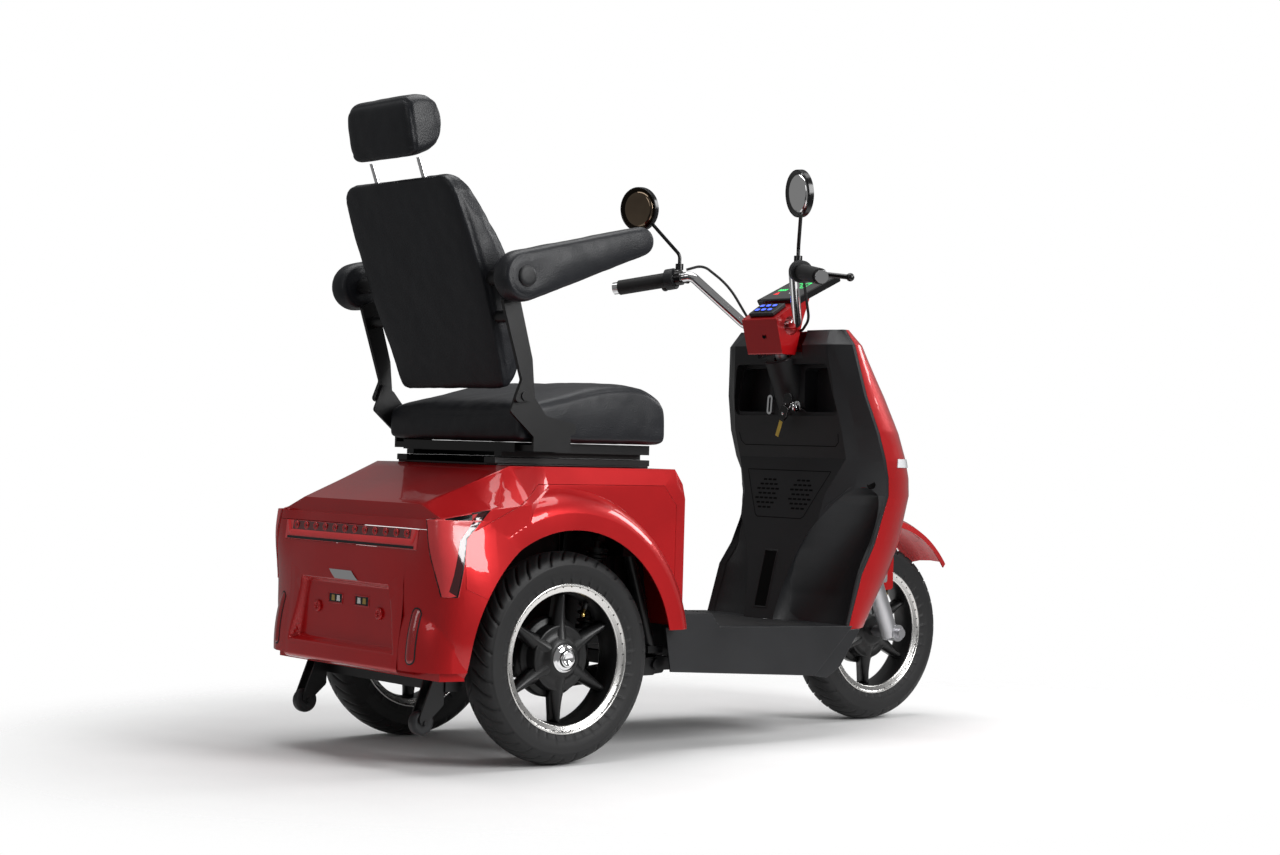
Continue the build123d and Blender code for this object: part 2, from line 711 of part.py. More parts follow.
# ---- front end ----------------------------------------------------------------------------
def fork():
    """Steerer, crown and two telescopic legs that hold the front axle."""
    top = clamp_height - (clamp_radius + seat_gap) * cos(radians(rake))
    steerer = rod(head_point(fork_crown_z), head_point(top), steerer_radius)
    crown_low, crown_high = head_point(fork_crown_z), head_point(fork_crown_z + fork_crown_height)
    y = fork_leg_spacing / 2
    along = Plane(origin=crown_low, x_dir=(cos(radians(rake)), 0, sin(radians(rake))),
                  z_dir=(-sin(radians(rake)), 0, cos(radians(rake))))
    crown = along * Pos(0, 0, fork_crown_height / 2) * Box(54, fork_leg_spacing + 30, fork_crown_height)
    crown = fillet(crown.edges().filter_by(lambda e: e.length < 27), 22)
    leg = rod((steer_x(330), y, 330), (steer_x(fork_crown_z + 20), y, fork_crown_z + 20), fork_tube_radius)
    slider = rod((steer_x(axle_z - 6) + 2, y, axle_z - 6), (steer_x(400), y, 400), fork_slider_radius)
    lug = rod((wheelbase, y - 20, axle_z), (wheelbase, y + 20, axle_z), 19)
    axle = rod((wheelbase, -y - 30, axle_z), (wheelbase, y + 30, axle_z), front_axle_radius)
    nut = rod((wheelbase, y + 20, axle_z), (wheelbase, y + 31, axle_z), 11)
    spacer = rod((wheelbase, hub_width / 2 + 1, axle_z), (wheelbase, y - 18, axle_z), 13)
    x = wheelbase - 83
    fender_lug = slab(outline([(x, 326), (x + 76, 318), (x + 76, 340), (x, 352)], 6), 58 + seat_gap, 72)
    side = leg + slider + lug + nut + spacer + fender_lug
    return steerer + crown + side + mirrored(side) + axle


def front_wheel():
    """The front wheel with its brake disc."""
    wheel = rim(wheelbase, 0, -1)
    disc_y = hub_width / 2 - 4
    disc = pipe((wheelbase, disc_y, axle_z), (wheelbase, disc_y + 4, axle_z), 92, 20)
    bore = rod((wheelbase, -90, axle_z), (wheelbase, 90, axle_z), front_axle_radius + running_clearance)
    return wheel + disc - bore


def front_fender():
    """The guard over the front wheel, with a tab on each side that bolts to the fork."""
    r = 270
    profile = [(r - 26, -58), (r - 12, -54), (r - 3, -34), (r, 0), (r - 3, 34), (r - 12, 54), (r - 26, 58),
               (r - 26, 55), (r - 14, 51), (r - 6, 32), (r - 3.5, 0), (r - 6, -32), (r - 14, -51), (r - 26, -55)]
    ring = turned(profile, wheelbase, 0, axle_z)
    keep = slab(outline([(0, 0), (320, 235), (250, 420), (-110, 420)]), -100, 100)
    ring = ring & (Pos(wheelbase, 0, axle_z) * keep)
    x = wheelbase - 47
    tab = slab(outline([(x, 456), (x + 22, 330), (x + 44, 300), (x + 74, 302), (x + 74, 456)], 8), 55, 58)
    return ring + tab + mirrored(tab)


def front_caliper():
    """The disc caliper on the left fork leg."""
    y = fork_leg_spacing / 2
    disc_y = hub_width / 2 - 2
    x = wheelbase - 91
    body = slab(outline([(x + 8, 150), (x + 38, 140), (x + 50, 176), (x + 22, 200), (x, 186)], 7), disc_y - 12, disc_y + 20)
    arm = outline([(x + 14, 146), (x + 80, 178), (x + 72, 216), (x + 18, 198)], 6)
    body += slab(arm, disc_y + 8, y - fork_slider_radius - seat_gap)
    body -= rod((wheelbase, disc_y - 3.5, axle_z), (wheelbase, disc_y + 3.5, axle_z), 96)
    return body


bar_clamp = (steer_x(clamp_height), 0, clamp_height)
bar_route = [(bar_end_x, bar_half_width, bar_height), (bar_end_x + 77, 166, 1004), (bar_end_x + 171, 84, 896),
             (bar_clamp[0], 30, clamp_height - 2)]


def handlebar():
    """The bent bar with its end weights."""
    right = [(x, -y, z) for x, y, z in reversed(bar_route)]
    bar = bent_bar(bar_route + right, bar_diameter / 2, 25)
    a, b = Vector(*bar_route[0]), Vector(*bar_route[1])
    along = (a - b).normalized()
    weight = rod(tuple(a), tuple(a + along * 14), 14)
    clamp = rod((bar_clamp[0], -34, clamp_height), (bar_clamp[0], 34, clamp_height), clamp_radius)
    return bar + weight + mirrored(weight) + clamp


def on_bar(distance):
    """A point on the left grip's line, measured in from the bar's end, and the line's direction."""
    a, b = Vector(*bar_route[0]), Vector(*bar_route[1])
    along = (b - a).normalized()
    return a + along * distance, along


def collar(start, end, radius):
    """A sleeve on the left grip's line."""
    (a, along), (b, _) = on_bar(start), on_bar(end)
    return rod(tuple(a), tuple(b), radius) - rod(tuple(a - along), tuple(b + along), bar_diameter / 2 + seat_gap)


def grips():
    return both(collar(0, grip_length, grip_radius))


def switch_pods():
    return both(collar(grip_length + 1, grip_length + 22, 24))


def brake_controls():
    """Lever perches and levers on both bars."""
    a, along = on_bar(149)
    clamp = collar(grip_length + 1 + 23, grip_length + 1 + 37, 17)
    root = a + Vector(24, -4, -2)
    tip = Vector(bar_end_x + 115, 300, 985)
    lever = rod(tuple(a + Vector(15.5, 8, -1)), tuple(root + Vector(8, 8, 0)), 9)
    lever -= rod(tuple(a - along * 40), tuple(a + along * 40), bar_diameter / 2 + seat_gap)
    lever += rod(tuple(root + Vector(6, 8, 0)), tuple(tip), 5.5) + Pos(*tip) * Sphere(9)
    return both(clamp + lever)


screen_x = wheelbase - 311
screen_outline = [(screen_x, 952), (screen_x + 128, 1012), (screen_x + 134, 1000), (screen_x + 8, 941)]


def column_cover():
    """The cover round the top of the steering column."""
    x = screen_x
    rear = slab(outline([(x - 53, 905), (x - 31, 828), (x + 8, 828), (x + 28, 905), (x + 50, 962), (x + 8, 944)], 4),
                -56, 56)
    core = rod(head_point(822), head_point(990), steerer_radius + 8)
    bar = bent_bar(bar_route + [(x, -y, z) for x, y, z in reversed(bar_route)], bar_diameter / 2 + 2, 25)
    hub = rod((bar_clamp[0], -60, clamp_height), (bar_clamp[0], 60, clamp_height), clamp_radius + seat_gap)
    return rear - core - bar - hub - slab(offset(outline(screen_outline), seat_gap), -70, 70)


def display():
    """The tilted display on its bracket."""
    return slab(outline(screen_outline, 3), -66, 66)


def cord(points, radius):
    """A cable of straight runs and tangent arcs, each arc as wide as its shorter run allows."""
    corners = [Vector(*p) for p in points]
    bends = []
    for before, here, after in zip(corners, corners[1:], corners[2:]):
        back, ahead = before - here, after - here
        turn = radians(180 - back.get_angle(ahead))
        bends.append(0.45 * min(back.length, ahead.length) / tan(turn / 2))
    path = FilletPolyline(*points, radius=bends)
    return sweep(Plane(origin=path @ 0, z_dir=path % 0) * Circle(radius), path=path)


# from the lever perch over the bar's bend and down to the side of the column cover
cable_route = ((bar_end_x + 72, 178, 1018), (bar_end_x + 104, 158, 1030), (bar_end_x + 152, 122, 985),
               (bar_end_x + 196, 96, 905), (bar_end_x + 206, 66, 884), (bar_end_x + 208, 56 + seat_gap, 882))


def control_cables():
    """The two brake cables."""
    return both(cord(cable_route, cable_radius))


def keypad():
    """The six-button pad on the column cover, behind the display."""
    low, high = Vector(screen_x - 50, 0, 907), Vector(screen_x + 4, 0, 941.5)
    along = (high - low).normalized()
    pad_plane = Plane(origin=low, x_dir=along, z_dir=Vector(-along.Z, 0, along.X))
    body = pad_plane * Pos(29, 0, keypad_rise / 2 + seat_gap) * Box(46, 78, keypad_rise)
    body = fillet(body.edges(), 2.5)
    for column in (-1, 0, 1):
        for row in (-1, 1):
            body += pad_plane * Pos(29 + row * 9, column * 20, keypad_rise + 1) * Box(11, 15, 2.4)
    return body


def front_lamps():
    """The light strip round the front cover's waist and the headlamp above it."""
    skin = cover_form(-lens_proud) - cover_form(cover_wall)
    return [skin & zone for zone in lamp_windows(0)]


def lamp_windows(gap):
    """What the headlamp and the light strip take out of the front cover, with a gap round them."""
    lamp = Plane.YZ.offset(wheelbase - 120) * outline([(-66, 640), (66, 640), (78, 712), (52, 742), (-52, 742), (-78, 712)], 14)
    headlamp = extrude(offset(lamp, gap), 160)
    back = wheelbase - 152 - gap
    strip = slab(offset(outline([(back, 584), (wheelbase + 90, 584), (wheelbase + 90, 603), (back, 603)]), gap), -400, 400)
    return headlamp, strip


def dash_fittings():
    """The bag hook and the key switch in the glove recess."""
    floor = recess_floor - seat_gap
    hook = Plane.YZ.offset(floor - 8) * (SlotOverall(44, 16, rotation=94) - SlotOverall(34, 6, rotation=94))
    loop = Pos(0, 48, 718) * extrude(hook, 8)
    lock = pipe((floor - 14, -47, 714), (floor, -47, 714), 12, 7) + rod((floor - 11, -47, 714), (floor, -47, 714), 7)
    return group(loop, lock)


def mirror_arm(side):
    """A round mirror on its stalk, screwed into the lever perch."""
    perch, _ = on_bar(149)
    foot = Vector(perch.X, side * perch.Y, perch.Z + 17.8)
    head = Vector(bar_end_x - 2, side * 261, 1154)
    stalk = bent_bar([tuple(foot), tuple(foot + Vector(0, 0, 34)), (bar_end_x + 27, side * 236, 1112), tuple(head)], 4, 20)
    boss = rod(tuple(foot), tuple(foot + Vector(0, 0, 14)), 9)
    facing = Vector(-1, side * -0.25, -0.1).normalized()
    dish = Plane(origin=head, z_dir=facing) * Cylinder(mirror_radius, 11)
    return stalk + boss + dish


# ---- seat ---------------------------------------------------------------------------------
def seat_base():
    """The base plate on the deck with the lower runners."""
    low = deck_height + seat_gap
    top = low + base_plate_thickness
    base = block((-95, -170, low), (285, 170, top))
    runner = block((-100, rail_pitch / 2 - 18, top), (290, rail_pitch / 2 + 18, top + 12))
    return base + runner + mirrored(runner)


recliner_y = 237
runner_top = deck_height + seat_gap + base_plate_thickness + 12


def seat_carriage():
    """Upper runners and cushion pan that slide on the lower runners."""
    low = runner_top + seat_gap
    upper = block((-80, rail_pitch / 2 - 12, low), (270, rail_pitch / 2 + 12, low + 10))
    pan = block((-70, -190, low + 10), (270, 190, seat_bottom - seat_gap))
    lower = slab(outline([(hinge_x - 26, hinge_z - 30), (hinge_x - 4, hinge_z + 26), (hinge_x + 22, hinge_z + 8),
                          (-30, seat_bottom + 51), (40, seat_bottom + 38), (44, seat_bottom + 17),
                          (-60, seat_bottom + 11)], 7), recliner_y - 6, recliner_y)
    tab = block((-60, 185, seat_bottom - 17), (30, recliner_y, seat_bottom - 5))
    tab += block((-60, recliner_y - 6, seat_bottom - 17), (30, recliner_y, seat_bottom + 33))
    pin = rod((hinge_x, recliner_y - 3, hinge_z), (hinge_x, recliner_y + 13, hinge_z), 9)
    side = upper + lower + tab + pin
    return pan + side + mirrored(side)


def seat_cushion():
    """The cushion, high at the front third and low at the rear."""
    low = seat_bottom
    crown = Spline((seat_rear_x, low + 71), (-30, low + 90), (90, low + 119), (172, low + 130), (240, low + 122),
                   (seat_front_x, low + 84))
    rest = Polyline(crown @ 1, (seat_front_x, low + 13), (seat_front_x - 14, low), (seat_rear_x, low), crown @ 0)
    body = slab(make_face([crown, rest]), -seat_width / 2, seat_width / 2)
    return fillet(body.edges().filter_by(Plane.XZ), 14)


def back_point(along, out, y=0):
    """A point in the backrest's own directions: up along it, and out of its front face."""
    a = radians(recline)
    return (hinge_x - along * sin(a) + out * cos(a), y, hinge_z + along * cos(a) + out * sin(a))


back_plane = Plane(origin=(hinge_x, 0, hinge_z), x_dir=(0, 1, 0),
                   z_dir=(cos(radians(recline)), 0, sin(radians(recline))))


def backrest():
    """The padded back: flat behind, crowned in front, wider at its shoulders, with sockets for the arm bosses."""
    crown = [(18, 30), (28, 60), (70, 98), (135, 117), (258, 112), (334, 89), (418, 60), (436, 38)]
    outer = make_face([Polyline((436, 38), (434, 5), (14, 5), (18, 30)), Spline(*crown)])
    profile = Plane(origin=back_point(0, 0), x_dir=back_plane.y_dir, z_dir=(0, 1, 0)) * outer
    body = extrude(profile, back_half_width, both=True)
    face = outline([(-172, 5), (172, 5), (back_half_width, 215), (back_half_width - 12, 437),
                    (12 - back_half_width, 437), (-back_half_width, 215)], 34)
    body = body & extrude(back_plane * face, 200)
    px, pz = arm_pivot
    for side in (1, -1):
        body -= rod(back_point(150, 30, side * (back_half_width - 40)), back_point(150, 30, side * 260), 12 + seat_gap)
        body -= rod((px, side * (back_half_width - 40), pz), (px, side * 260, pz), 15 + seat_gap)
    return body


def backrest_arms():
    """Upper recliner arms that join the hinge to the backrest's sides."""
    inner, outer = recliner_y + 1.5, recliner_y + 10
    line = [(hinge_x - 26, hinge_z - 14), (hinge_x - 8, hinge_z + 30), back_point(190, 10)[0::2],
            back_point(190, 50)[0::2], back_point(60, 40)[0::2], (hinge_x + 24, hinge_z - 8)]
    arm = slab(outline(line, 8), inner, outer)
    arm -= rod((hinge_x, 0, hinge_z), (hinge_x, 400, hinge_z), 9 + running_clearance)
    boss = rod(back_point(150, 30, back_half_width - 32), back_point(150, 30, inner + 1), 12)
    return both(arm + boss)


def headrest_block(gap):
    """The headrest's outer block, or the same grown by a gap."""
    lean = radians(headrest_lean)
    frame = Plane(origin=back_point(back_length + headrest_rise, 44), x_dir=(0, 1, 0), z_dir=(cos(lean), 0, sin(lean)))
    return frame * Box(headrest_width + 2 * gap, headrest_height + 2 * gap, headrest_depth + 2 * gap)


def headrest():
    """The headrest cushion."""
    body = headrest_block(0)
    return fillet(body.edges(), 22)


def headrest_posts():
    """Two chrome posts between the backrest and the headrest."""
    y = post_spacing / 2
    post = rod(back_point(back_length + 25.4 + seat_gap, 26, y), back_point(back_length + 90, 26, y), post_radius)
    return both(post - headrest_block(seat_gap))


def armrest(side):
    """A tapering padded armrest that folds up about its root."""
    px, pz = arm_pivot
    tip_x = px + armrest_length * cos(radians(arm_tilt))
    tip_z = pz + armrest_length * sin(radians(arm_tilt))
    root = Pos(px, pz) * Circle(armrest_root_radius)
    tip = Pos(tip_x, tip_z) * Circle(armrest_tip_radius)
    hull = make_hull([*root.edges(), *tip.edges()])
    y0 = armrest_y - armrest_width / 2
    y1 = armrest_y + armrest_width / 2
    body = slab(hull, y0, y1)
    body = fillet(body.edges(), 9)
    boss = rod((px, y1 - 2, pz), (px, y1 + 5, pz), 20)
    arm = body + boss
    return arm if side > 0 else mirrored(arm)


def armrest_pivots():
    """Pins that carry the armrests on the backrest's sides."""
    px, pz = arm_pivot
    return both(rod((px, back_half_width - 12, pz), (px, armrest_y - armrest_width / 2 - seat_gap, pz), 15))


# ---- writing ------------------------------------------------------------------------------
cover, panel_right, panel_left, tail, lamps, light_bar = rear_panels()
parts = {
    "frame_tubes": frame(),
    "rear_axle": rear_axle(),
    "drive_motor": drive_motor(),
    "swing_arms": swing_arms(),
    "rear_shocks": rear_shocks(),
    "battery_pack": battery_pack(),
    "anti_tip_arms": anti_tip_arms(),
    "body_cover": cover,
    "side_panel_right": panel_right,
    "side_panel_left": panel_left,
    "tail_panel": tail,
    "rear_lamps": group(lamps, light_bar),
    "footboard": footboard(),
    "leg_shield": leg_shield(),
    "lower_fairing": lower_fairing(),
    "front_cover": front_cover(),
    "front_lamps": group(*front_lamps()),
    "dash_fittings": dash_fittings(),
    "seat_base": seat_base(),
    "fork": fork(),
    "front_fender": front_fender(),
    "front_caliper": front_caliper(),
    "handlebar": handlebar(),
    "grips": grips(),
    "switch_pods": switch_pods(),
    "brake_controls": brake_controls(),
    "column_cover": column_cover(),
    "display": display(),
    "keypad": keypad(),
    "control_cables": control_cables(),
    "mirror_left": mirror_arm(1),
    "mirror_right": mirror_arm(-1),
    "front_wheel": front_wheel(),
    "front_tyre": tyre(wheelbase, 0),
    "rear_wheel_left": rear_wheel(1),
    "rear_tyre_left": tyre(0, rear_wheel_y),
    "rear_wheel_right": rear_wheel(-1),
    "rear_tyre_right": tyre(0, -rear_wheel_y),
    "roller_left": roller(1),
    "roller_right": roller(-1),
    "seat_carriage": seat_carriage(),
    "seat_cushion": seat_cushion(),
    "backrest": backrest(),
    "backrest_arms": group(backrest_arms(), armrest_pivots()),
    "headrest": headrest(),
    "headrest_posts": headrest_posts(),
    "armrest_left": armrest(1),
    "armrest_right": armrest(-1),
}

os.makedirs("parts", exist_ok=True)
for name, shape in parts.items():
    solids = [Pos(-centre_x, 0, 0) * solid for solid in shape.solids()]
    export_step(solids[0] if len(solids) == 1 else Compound(solids), f"parts/{name}.step")
    print(name)
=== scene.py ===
"""Looks of the electric three-wheel scooter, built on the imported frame. Metres, z up."""
import math

import bmesh
import bpy
from mathutils import Matrix, Vector, noise
from mathutils.bvhtree import BVHTree


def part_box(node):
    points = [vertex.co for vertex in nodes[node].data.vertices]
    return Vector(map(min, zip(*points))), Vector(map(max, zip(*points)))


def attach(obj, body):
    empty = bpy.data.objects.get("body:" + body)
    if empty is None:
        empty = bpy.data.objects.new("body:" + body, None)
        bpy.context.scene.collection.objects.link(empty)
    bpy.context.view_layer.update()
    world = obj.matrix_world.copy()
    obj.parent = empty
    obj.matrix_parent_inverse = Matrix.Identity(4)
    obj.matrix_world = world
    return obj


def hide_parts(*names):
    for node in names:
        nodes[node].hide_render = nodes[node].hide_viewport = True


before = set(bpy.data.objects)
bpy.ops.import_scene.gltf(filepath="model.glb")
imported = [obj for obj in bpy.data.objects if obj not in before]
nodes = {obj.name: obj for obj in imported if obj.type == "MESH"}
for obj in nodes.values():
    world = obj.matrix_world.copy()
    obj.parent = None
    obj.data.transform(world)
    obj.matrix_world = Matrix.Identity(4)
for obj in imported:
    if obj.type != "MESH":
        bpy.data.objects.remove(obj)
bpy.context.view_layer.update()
scene = bpy.context.scene
scene.view_settings.view_transform = "Standard"
shift = -0.493
edge_angle = math.radians(28)


def at(x, y, z):
    """A place in metres from millimetres ahead of the rear axle, to the left and up."""
    return Vector((x / 1000 + shift, y / 1000, z / 1000))


def put(node, values):
    """Sets a shader node's inputs by name."""
    for name, value in values.items():
        node.inputs[name].default_value = value


def link(source, out, target, into):
    """Joins two shader nodes of one tree."""
    source.id_data.links.new(source.outputs[out], target.inputs[into])


# ---- camera, light and floor ---------------------------------------------------------------
def make_camera():
    """The camera that fits the three wheels as they stand in the photograph."""
    turn, pitch, roll = math.radians(50.0026), math.radians(-0.4925), math.radians(1.5836)
    forward = Vector((math.cos(turn) * math.cos(pitch), math.sin(turn) * math.cos(pitch), -math.sin(pitch)))
    side = Vector((math.sin(turn), -math.cos(turn), 0))
    up = side.cross(forward)
    right = side * math.cos(roll) + up * math.sin(roll)
    top = up * math.cos(roll) - side * math.sin(roll)
    data = bpy.data.cameras.new("camera")
    data.lens, data.sensor_width = 63.51, 36
    camera = bpy.data.objects.new("camera", data)
    scene.collection.objects.link(camera)
    camera.matrix_world = Matrix((right, top, -forward)).transposed().to_4x4()
    camera.location = (-2.6798 + shift, -3.6746, 0.6142)
    scene.camera = camera


def area_light(name, place, target, size, power, tall=None):
    """A soft box that faces its target."""
    data = bpy.data.lights.new(name, "AREA")
    data.shape = "RECTANGLE"
    data.size, data.size_y, data.energy = size, tall or size, power
    light = bpy.data.objects.new(name, data)
    scene.collection.objects.link(light)
    light.location = place
    light.rotation_euler = (Vector(target) - Vector(place)).to_track_quat("-Z", "Y").to_euler()


def make_studio():
    """White surroundings, the paper floor and four soft boxes."""
    world = bpy.data.worlds.new("studio")
    scene.world = world
    world.use_nodes = True
    tree = world.node_tree
    back = tree.nodes["Background"]
    put(back, {"Color": (1, 1, 1, 1)})
    path = tree.nodes.new("ShaderNodeLightPath")
    mix = tree.nodes.new("ShaderNodeMix")
    put(mix, {"A": 0.2, "B": 1.0})
    link(path, "Is Camera Ray", mix, "Factor")
    link(mix, "Result", back, "Strength")
    bpy.ops.mesh.primitive_plane_add(size=12)
    floor = bpy.context.object
    floor.name = "floor"
    floor.data.materials.append(paper())
    area_light("key", (0.9, -3.9, 2.3), (0, 0, 0.5), 1.6, 150, 2.6)
    area_light("fill", (-4.2, -0.4, 2.0), (0, 0, 0.5), 1.0, 14, 1.8)
    area_light("front", (3.6, -0.6, 2.4), (0, 0, 0.5), 1.4, 45)
    area_light("top", (0.0, 0.3, 4.2), (0, 0, 0.6), 3.4, 120)


def paper():
    """White studio paper that fades into the white surroundings away from the scooter."""
    made = surface("paper", (0.86, 0.86, 0.86), 0.9, bump=0.02, grain=60, spread=0.01)
    tree = made.node_tree
    out, base = tree.nodes["Material Output"], tree.nodes["Principled BSDF"]
    spot = tree.nodes.new("ShaderNodeTexCoord")
    stretch = tree.nodes.new("ShaderNodeMapping")
    stretch.vector_type = "TEXTURE"
    put(stretch, {"Scale": (1.75, 1.35, 1)})
    ball = tree.nodes.new("ShaderNodeTexGradient")
    ball.gradient_type = "SPHERICAL"
    fade = tree.nodes.new("ShaderNodeMapRange")
    put(fade, {"From Min": 0.0, "From Max": 0.45})
    fade.interpolation_type = "SMOOTHSTEP"
    clear, mix = tree.nodes.new("ShaderNodeBsdfTransparent"), tree.nodes.new("ShaderNodeMixShader")
    link(spot, "Object", stretch, "Vector")
    link(stretch, "Vector", ball, "Vector")
    link(ball, "Fac", fade, "Value")
    link(fade, "Result", mix, "Fac")
    link(clear, "BSDF", mix, 1)
    link(base, "BSDF", mix, 2)
    link(mix, "Shader", out, "Surface")
    return made


# ---- materials -----------------------------------------------------------------------------
def surface(name, colour, rough, metal=0.0, coat=0.0, bump=0.1, grain=400, kind="noise", spread=0.12,
            shine=0.5):
    """A moulded, painted or cast finish: colour and roughness vary, and the grain stands in relief."""
    made = bpy.data.materials.new(name)
    made.use_nodes = True
    tree = made.node_tree
    base = tree.nodes["Principled BSDF"]
    put(base, {"Metallic": metal, "Coat Weight": coat, "Coat Roughness": 0.03, "Specular IOR Level": shine})
    spot = tree.nodes.new("ShaderNodeTexCoord")
    fine = tree.nodes.new("ShaderNodeTexVoronoi" if kind == "cells" else "ShaderNodeTexNoise")
    put(fine, {"Scale": grain})
    broad = tree.nodes.new("ShaderNodeTexNoise")
    put(broad, {"Scale": 9, "Detail": 6})
    for texture in (fine, broad):
        link(spot, "Object", texture, "Vector")
    tone = tree.nodes.new("ShaderNodeValToRGB")
    tone.color_ramp.elements[0].position, tone.color_ramp.elements[1].position = 0.3, 0.7
    tone.color_ramp.elements[0].color = (*[c * (1 - spread) for c in colour], 1)
    tone.color_ramp.elements[1].color = (*[c * (1 + spread) for c in colour], 1)
    link(broad, "Fac", tone, "Fac")
    link(tone, "Color", base, "Base Color")
    matt = tree.nodes.new("ShaderNodeMapRange")
    put(matt, {"To Min": max(0.02, rough * 0.85), "To Max": min(1, rough * 1.18)})
    link(broad, "Fac", matt, "Value")
    link(matt, "Result", base, "Roughness")
    if bump:
        relief = tree.nodes.new("ShaderNodeBump")
        put(relief, {"Strength": bump, "Distance": 0.0006})
        link(fine, "Distance" if kind == "cells" else "Fac", relief, "Height")
        link(relief, "Normal", base, "Normal")
    return made


paint = surface("red_paint", (0.5, 0.0025, 0.005), 0.34, metal=0.45, coat=0.8, bump=0.03, grain=2600,
                spread=0.05, shine=0.3)
black_plastic = surface("black_plastic", (0.0105, 0.011, 0.0125), 0.44, bump=0.3, grain=1500, spread=0.15,
                        shine=0.4)
gloss_plastic = surface("gloss_plastic", (0.004, 0.004, 0.0045), 0.2, bump=0.05, grain=900)
leather = surface("leather", (0.008, 0.009, 0.012), 0.42, bump=0.45, grain=420, kind="cells", shine=0.38)
rubber = surface("rubber", (0.007, 0.007, 0.0075), 0.55, bump=0.3, grain=900, spread=0.2, shine=0.4)
black_steel = surface("black_steel", (0.006, 0.006, 0.0065), 0.34, bump=0.12, grain=800, shine=0.4)
black_cast = surface("black_cast", (0.006, 0.006, 0.0063), 0.36, bump=0.3, grain=600, shine=0.4)
cast_alloy = surface("cast_alloy", (0.58, 0.58, 0.6), 0.38, metal=1.0, bump=0.25, grain=500)
chrome = surface("chrome", (0.86, 0.86, 0.87), 0.05, metal=1.0, bump=0.01, grain=300, spread=0.02)
mirror = surface("mirror", (0.9, 0.9, 0.9), 0.02, metal=1.0, bump=0.0, spread=0.01)
lens_red = surface("lens_red", (0.72, 0.05, 0.055), 0.22, coat=0.5, bump=0.06, grain=160, kind="cells")
lit_red = surface("lit_red", (0.85, 0.015, 0.02), 0.16, coat=1.0, bump=0.02, grain=200)
cup_red = surface("cup_red", (0.62, 0.008, 0.012), 0.16, metal=0.5, coat=1.0, bump=0.02, grain=300)
dark_lens = surface("dark_lens", (0.10, 0.001, 0.002), 0.12, coat=1.0, bump=0.04, grain=220, kind="cells")
smoke = surface("smoke", (0.045, 0.004, 0.006), 0.1, coat=1.0, bump=0.03, grain=200)
reflector = surface("reflector", (0.3, 0.002, 0.004), 0.16, coat=1.0, bump=0.4, grain=260, kind="cells")
bare_label = surface("bare_label", (0.72, 0.72, 0.7), 0.4, bump=0.05, grain=500, spread=0.04)
tag_yellow = surface("tag_yellow", (0.68, 0.48, 0.09), 0.35, metal=0.4, bump=0.06, grain=700)
# Near-black for the seams, tunnel plaque and column lock; it is also painted shade for the shield's cooling
# slots and screw hole.
seam_black_and_hole_shade = surface("seam_black_and_hole_shade", (0.0015, 0.0015, 0.0016), 0.8, bump=0.05, grain=900, shine=0.1)
screen_black = surface("screen_black", (0.004, 0.004, 0.005), 0.06, coat=1.0, bump=0.01, grain=300)
# Left mirror glass: the plain mirror finish darkened and tinted brown, a painted dim reflection; the right
# glass is the plain mirror.
mirror_painted_dim = surface("mirror_painted_dim", (0.2, 0.15, 0.105), 0.04, metal=1.0, bump=0.0, spread=0.25)


def lamp(name, colour, power):
    """A lit symbol or button."""
    made = surface(name, colour, 0.3, bump=0.02, grain=500, spread=0.1)
    put(made.node_tree.nodes["Principled BSDF"], {"Emission Color": (*colour, 1), "Emission Strength": power})
    return made


glow_green = lamp("glow_green", (0.05, 0.9, 0.2), 0.9)
glow_white = lamp("glow_white", (0.85, 0.9, 0.9), 0.8)
glow_red = lamp("glow_red", (0.9, 0.03, 0.03), 0.8)
glow_blue = lamp("glow_blue", (0.06, 0.12, 1.0), 1.6)
clear_lens = surface("clear_lens", (0.82, 0.83, 0.85), 0.12, coat=1.0, bump=0.25, grain=240, kind="cells",
                     spread=0.06)
brass = surface("brass", (0.72, 0.5, 0.16), 0.24, metal=1.0, bump=0.05, grain=900)


def turned_alloy(name):
    """Bare alloy as it leaves the lathe, with fine rings round the axle."""
    made = surface(name, (0.74, 0.73, 0.71), 0.24, metal=1.0, bump=0, spread=0.04)
    tree = made.node_tree
    base = tree.nodes["Principled BSDF"]
    spot = tree.nodes.new("ShaderNodeTexCoord")
    ring = tree.nodes.new("ShaderNodeTexWave")
    ring.wave_type, ring.rings_direction = "RINGS", "Y"
    put(ring, {"Scale": 260})
    link(spot, "Generated", ring, "Vector")
    relief = tree.nodes.new("ShaderNodeBump")
    put(relief, {"Strength": 0.05, "Distance": 0.0003})
    link(ring, "Fac", relief, "Height")
    link(relief, "Normal", base, "Normal")
    return made


machined = turned_alloy("machined")


def soften(obj, width):
    """Rounds a piece's edges by the small radius of the real part."""
    edge = obj.modifiers.new("edge", "BEVEL")
    edge.width, edge.segments, edge.limit_method = width, 2, "ANGLE"
    edge.angle_limit, edge.harden_normals = edge_angle, True


def dress(names, material, width=0.0012):
    """Gives carried-over frame nodes their finish and rounded edges."""
    for name in names:
        obj = nodes[name]
        obj.data.materials.clear()
        obj.data.materials.append(material)
        weld = obj.modifiers.new("weld", "WELD")
        weld.merge_threshold = 0.00002
        if width:
            soften(obj, width)
        weigh = obj.modifiers.new("normals", "WEIGHTED_NORMAL")
        weigh.weight = 50
        for face in obj.data.polygons:
            face.use_smooth = True


make_camera()
make_studio()


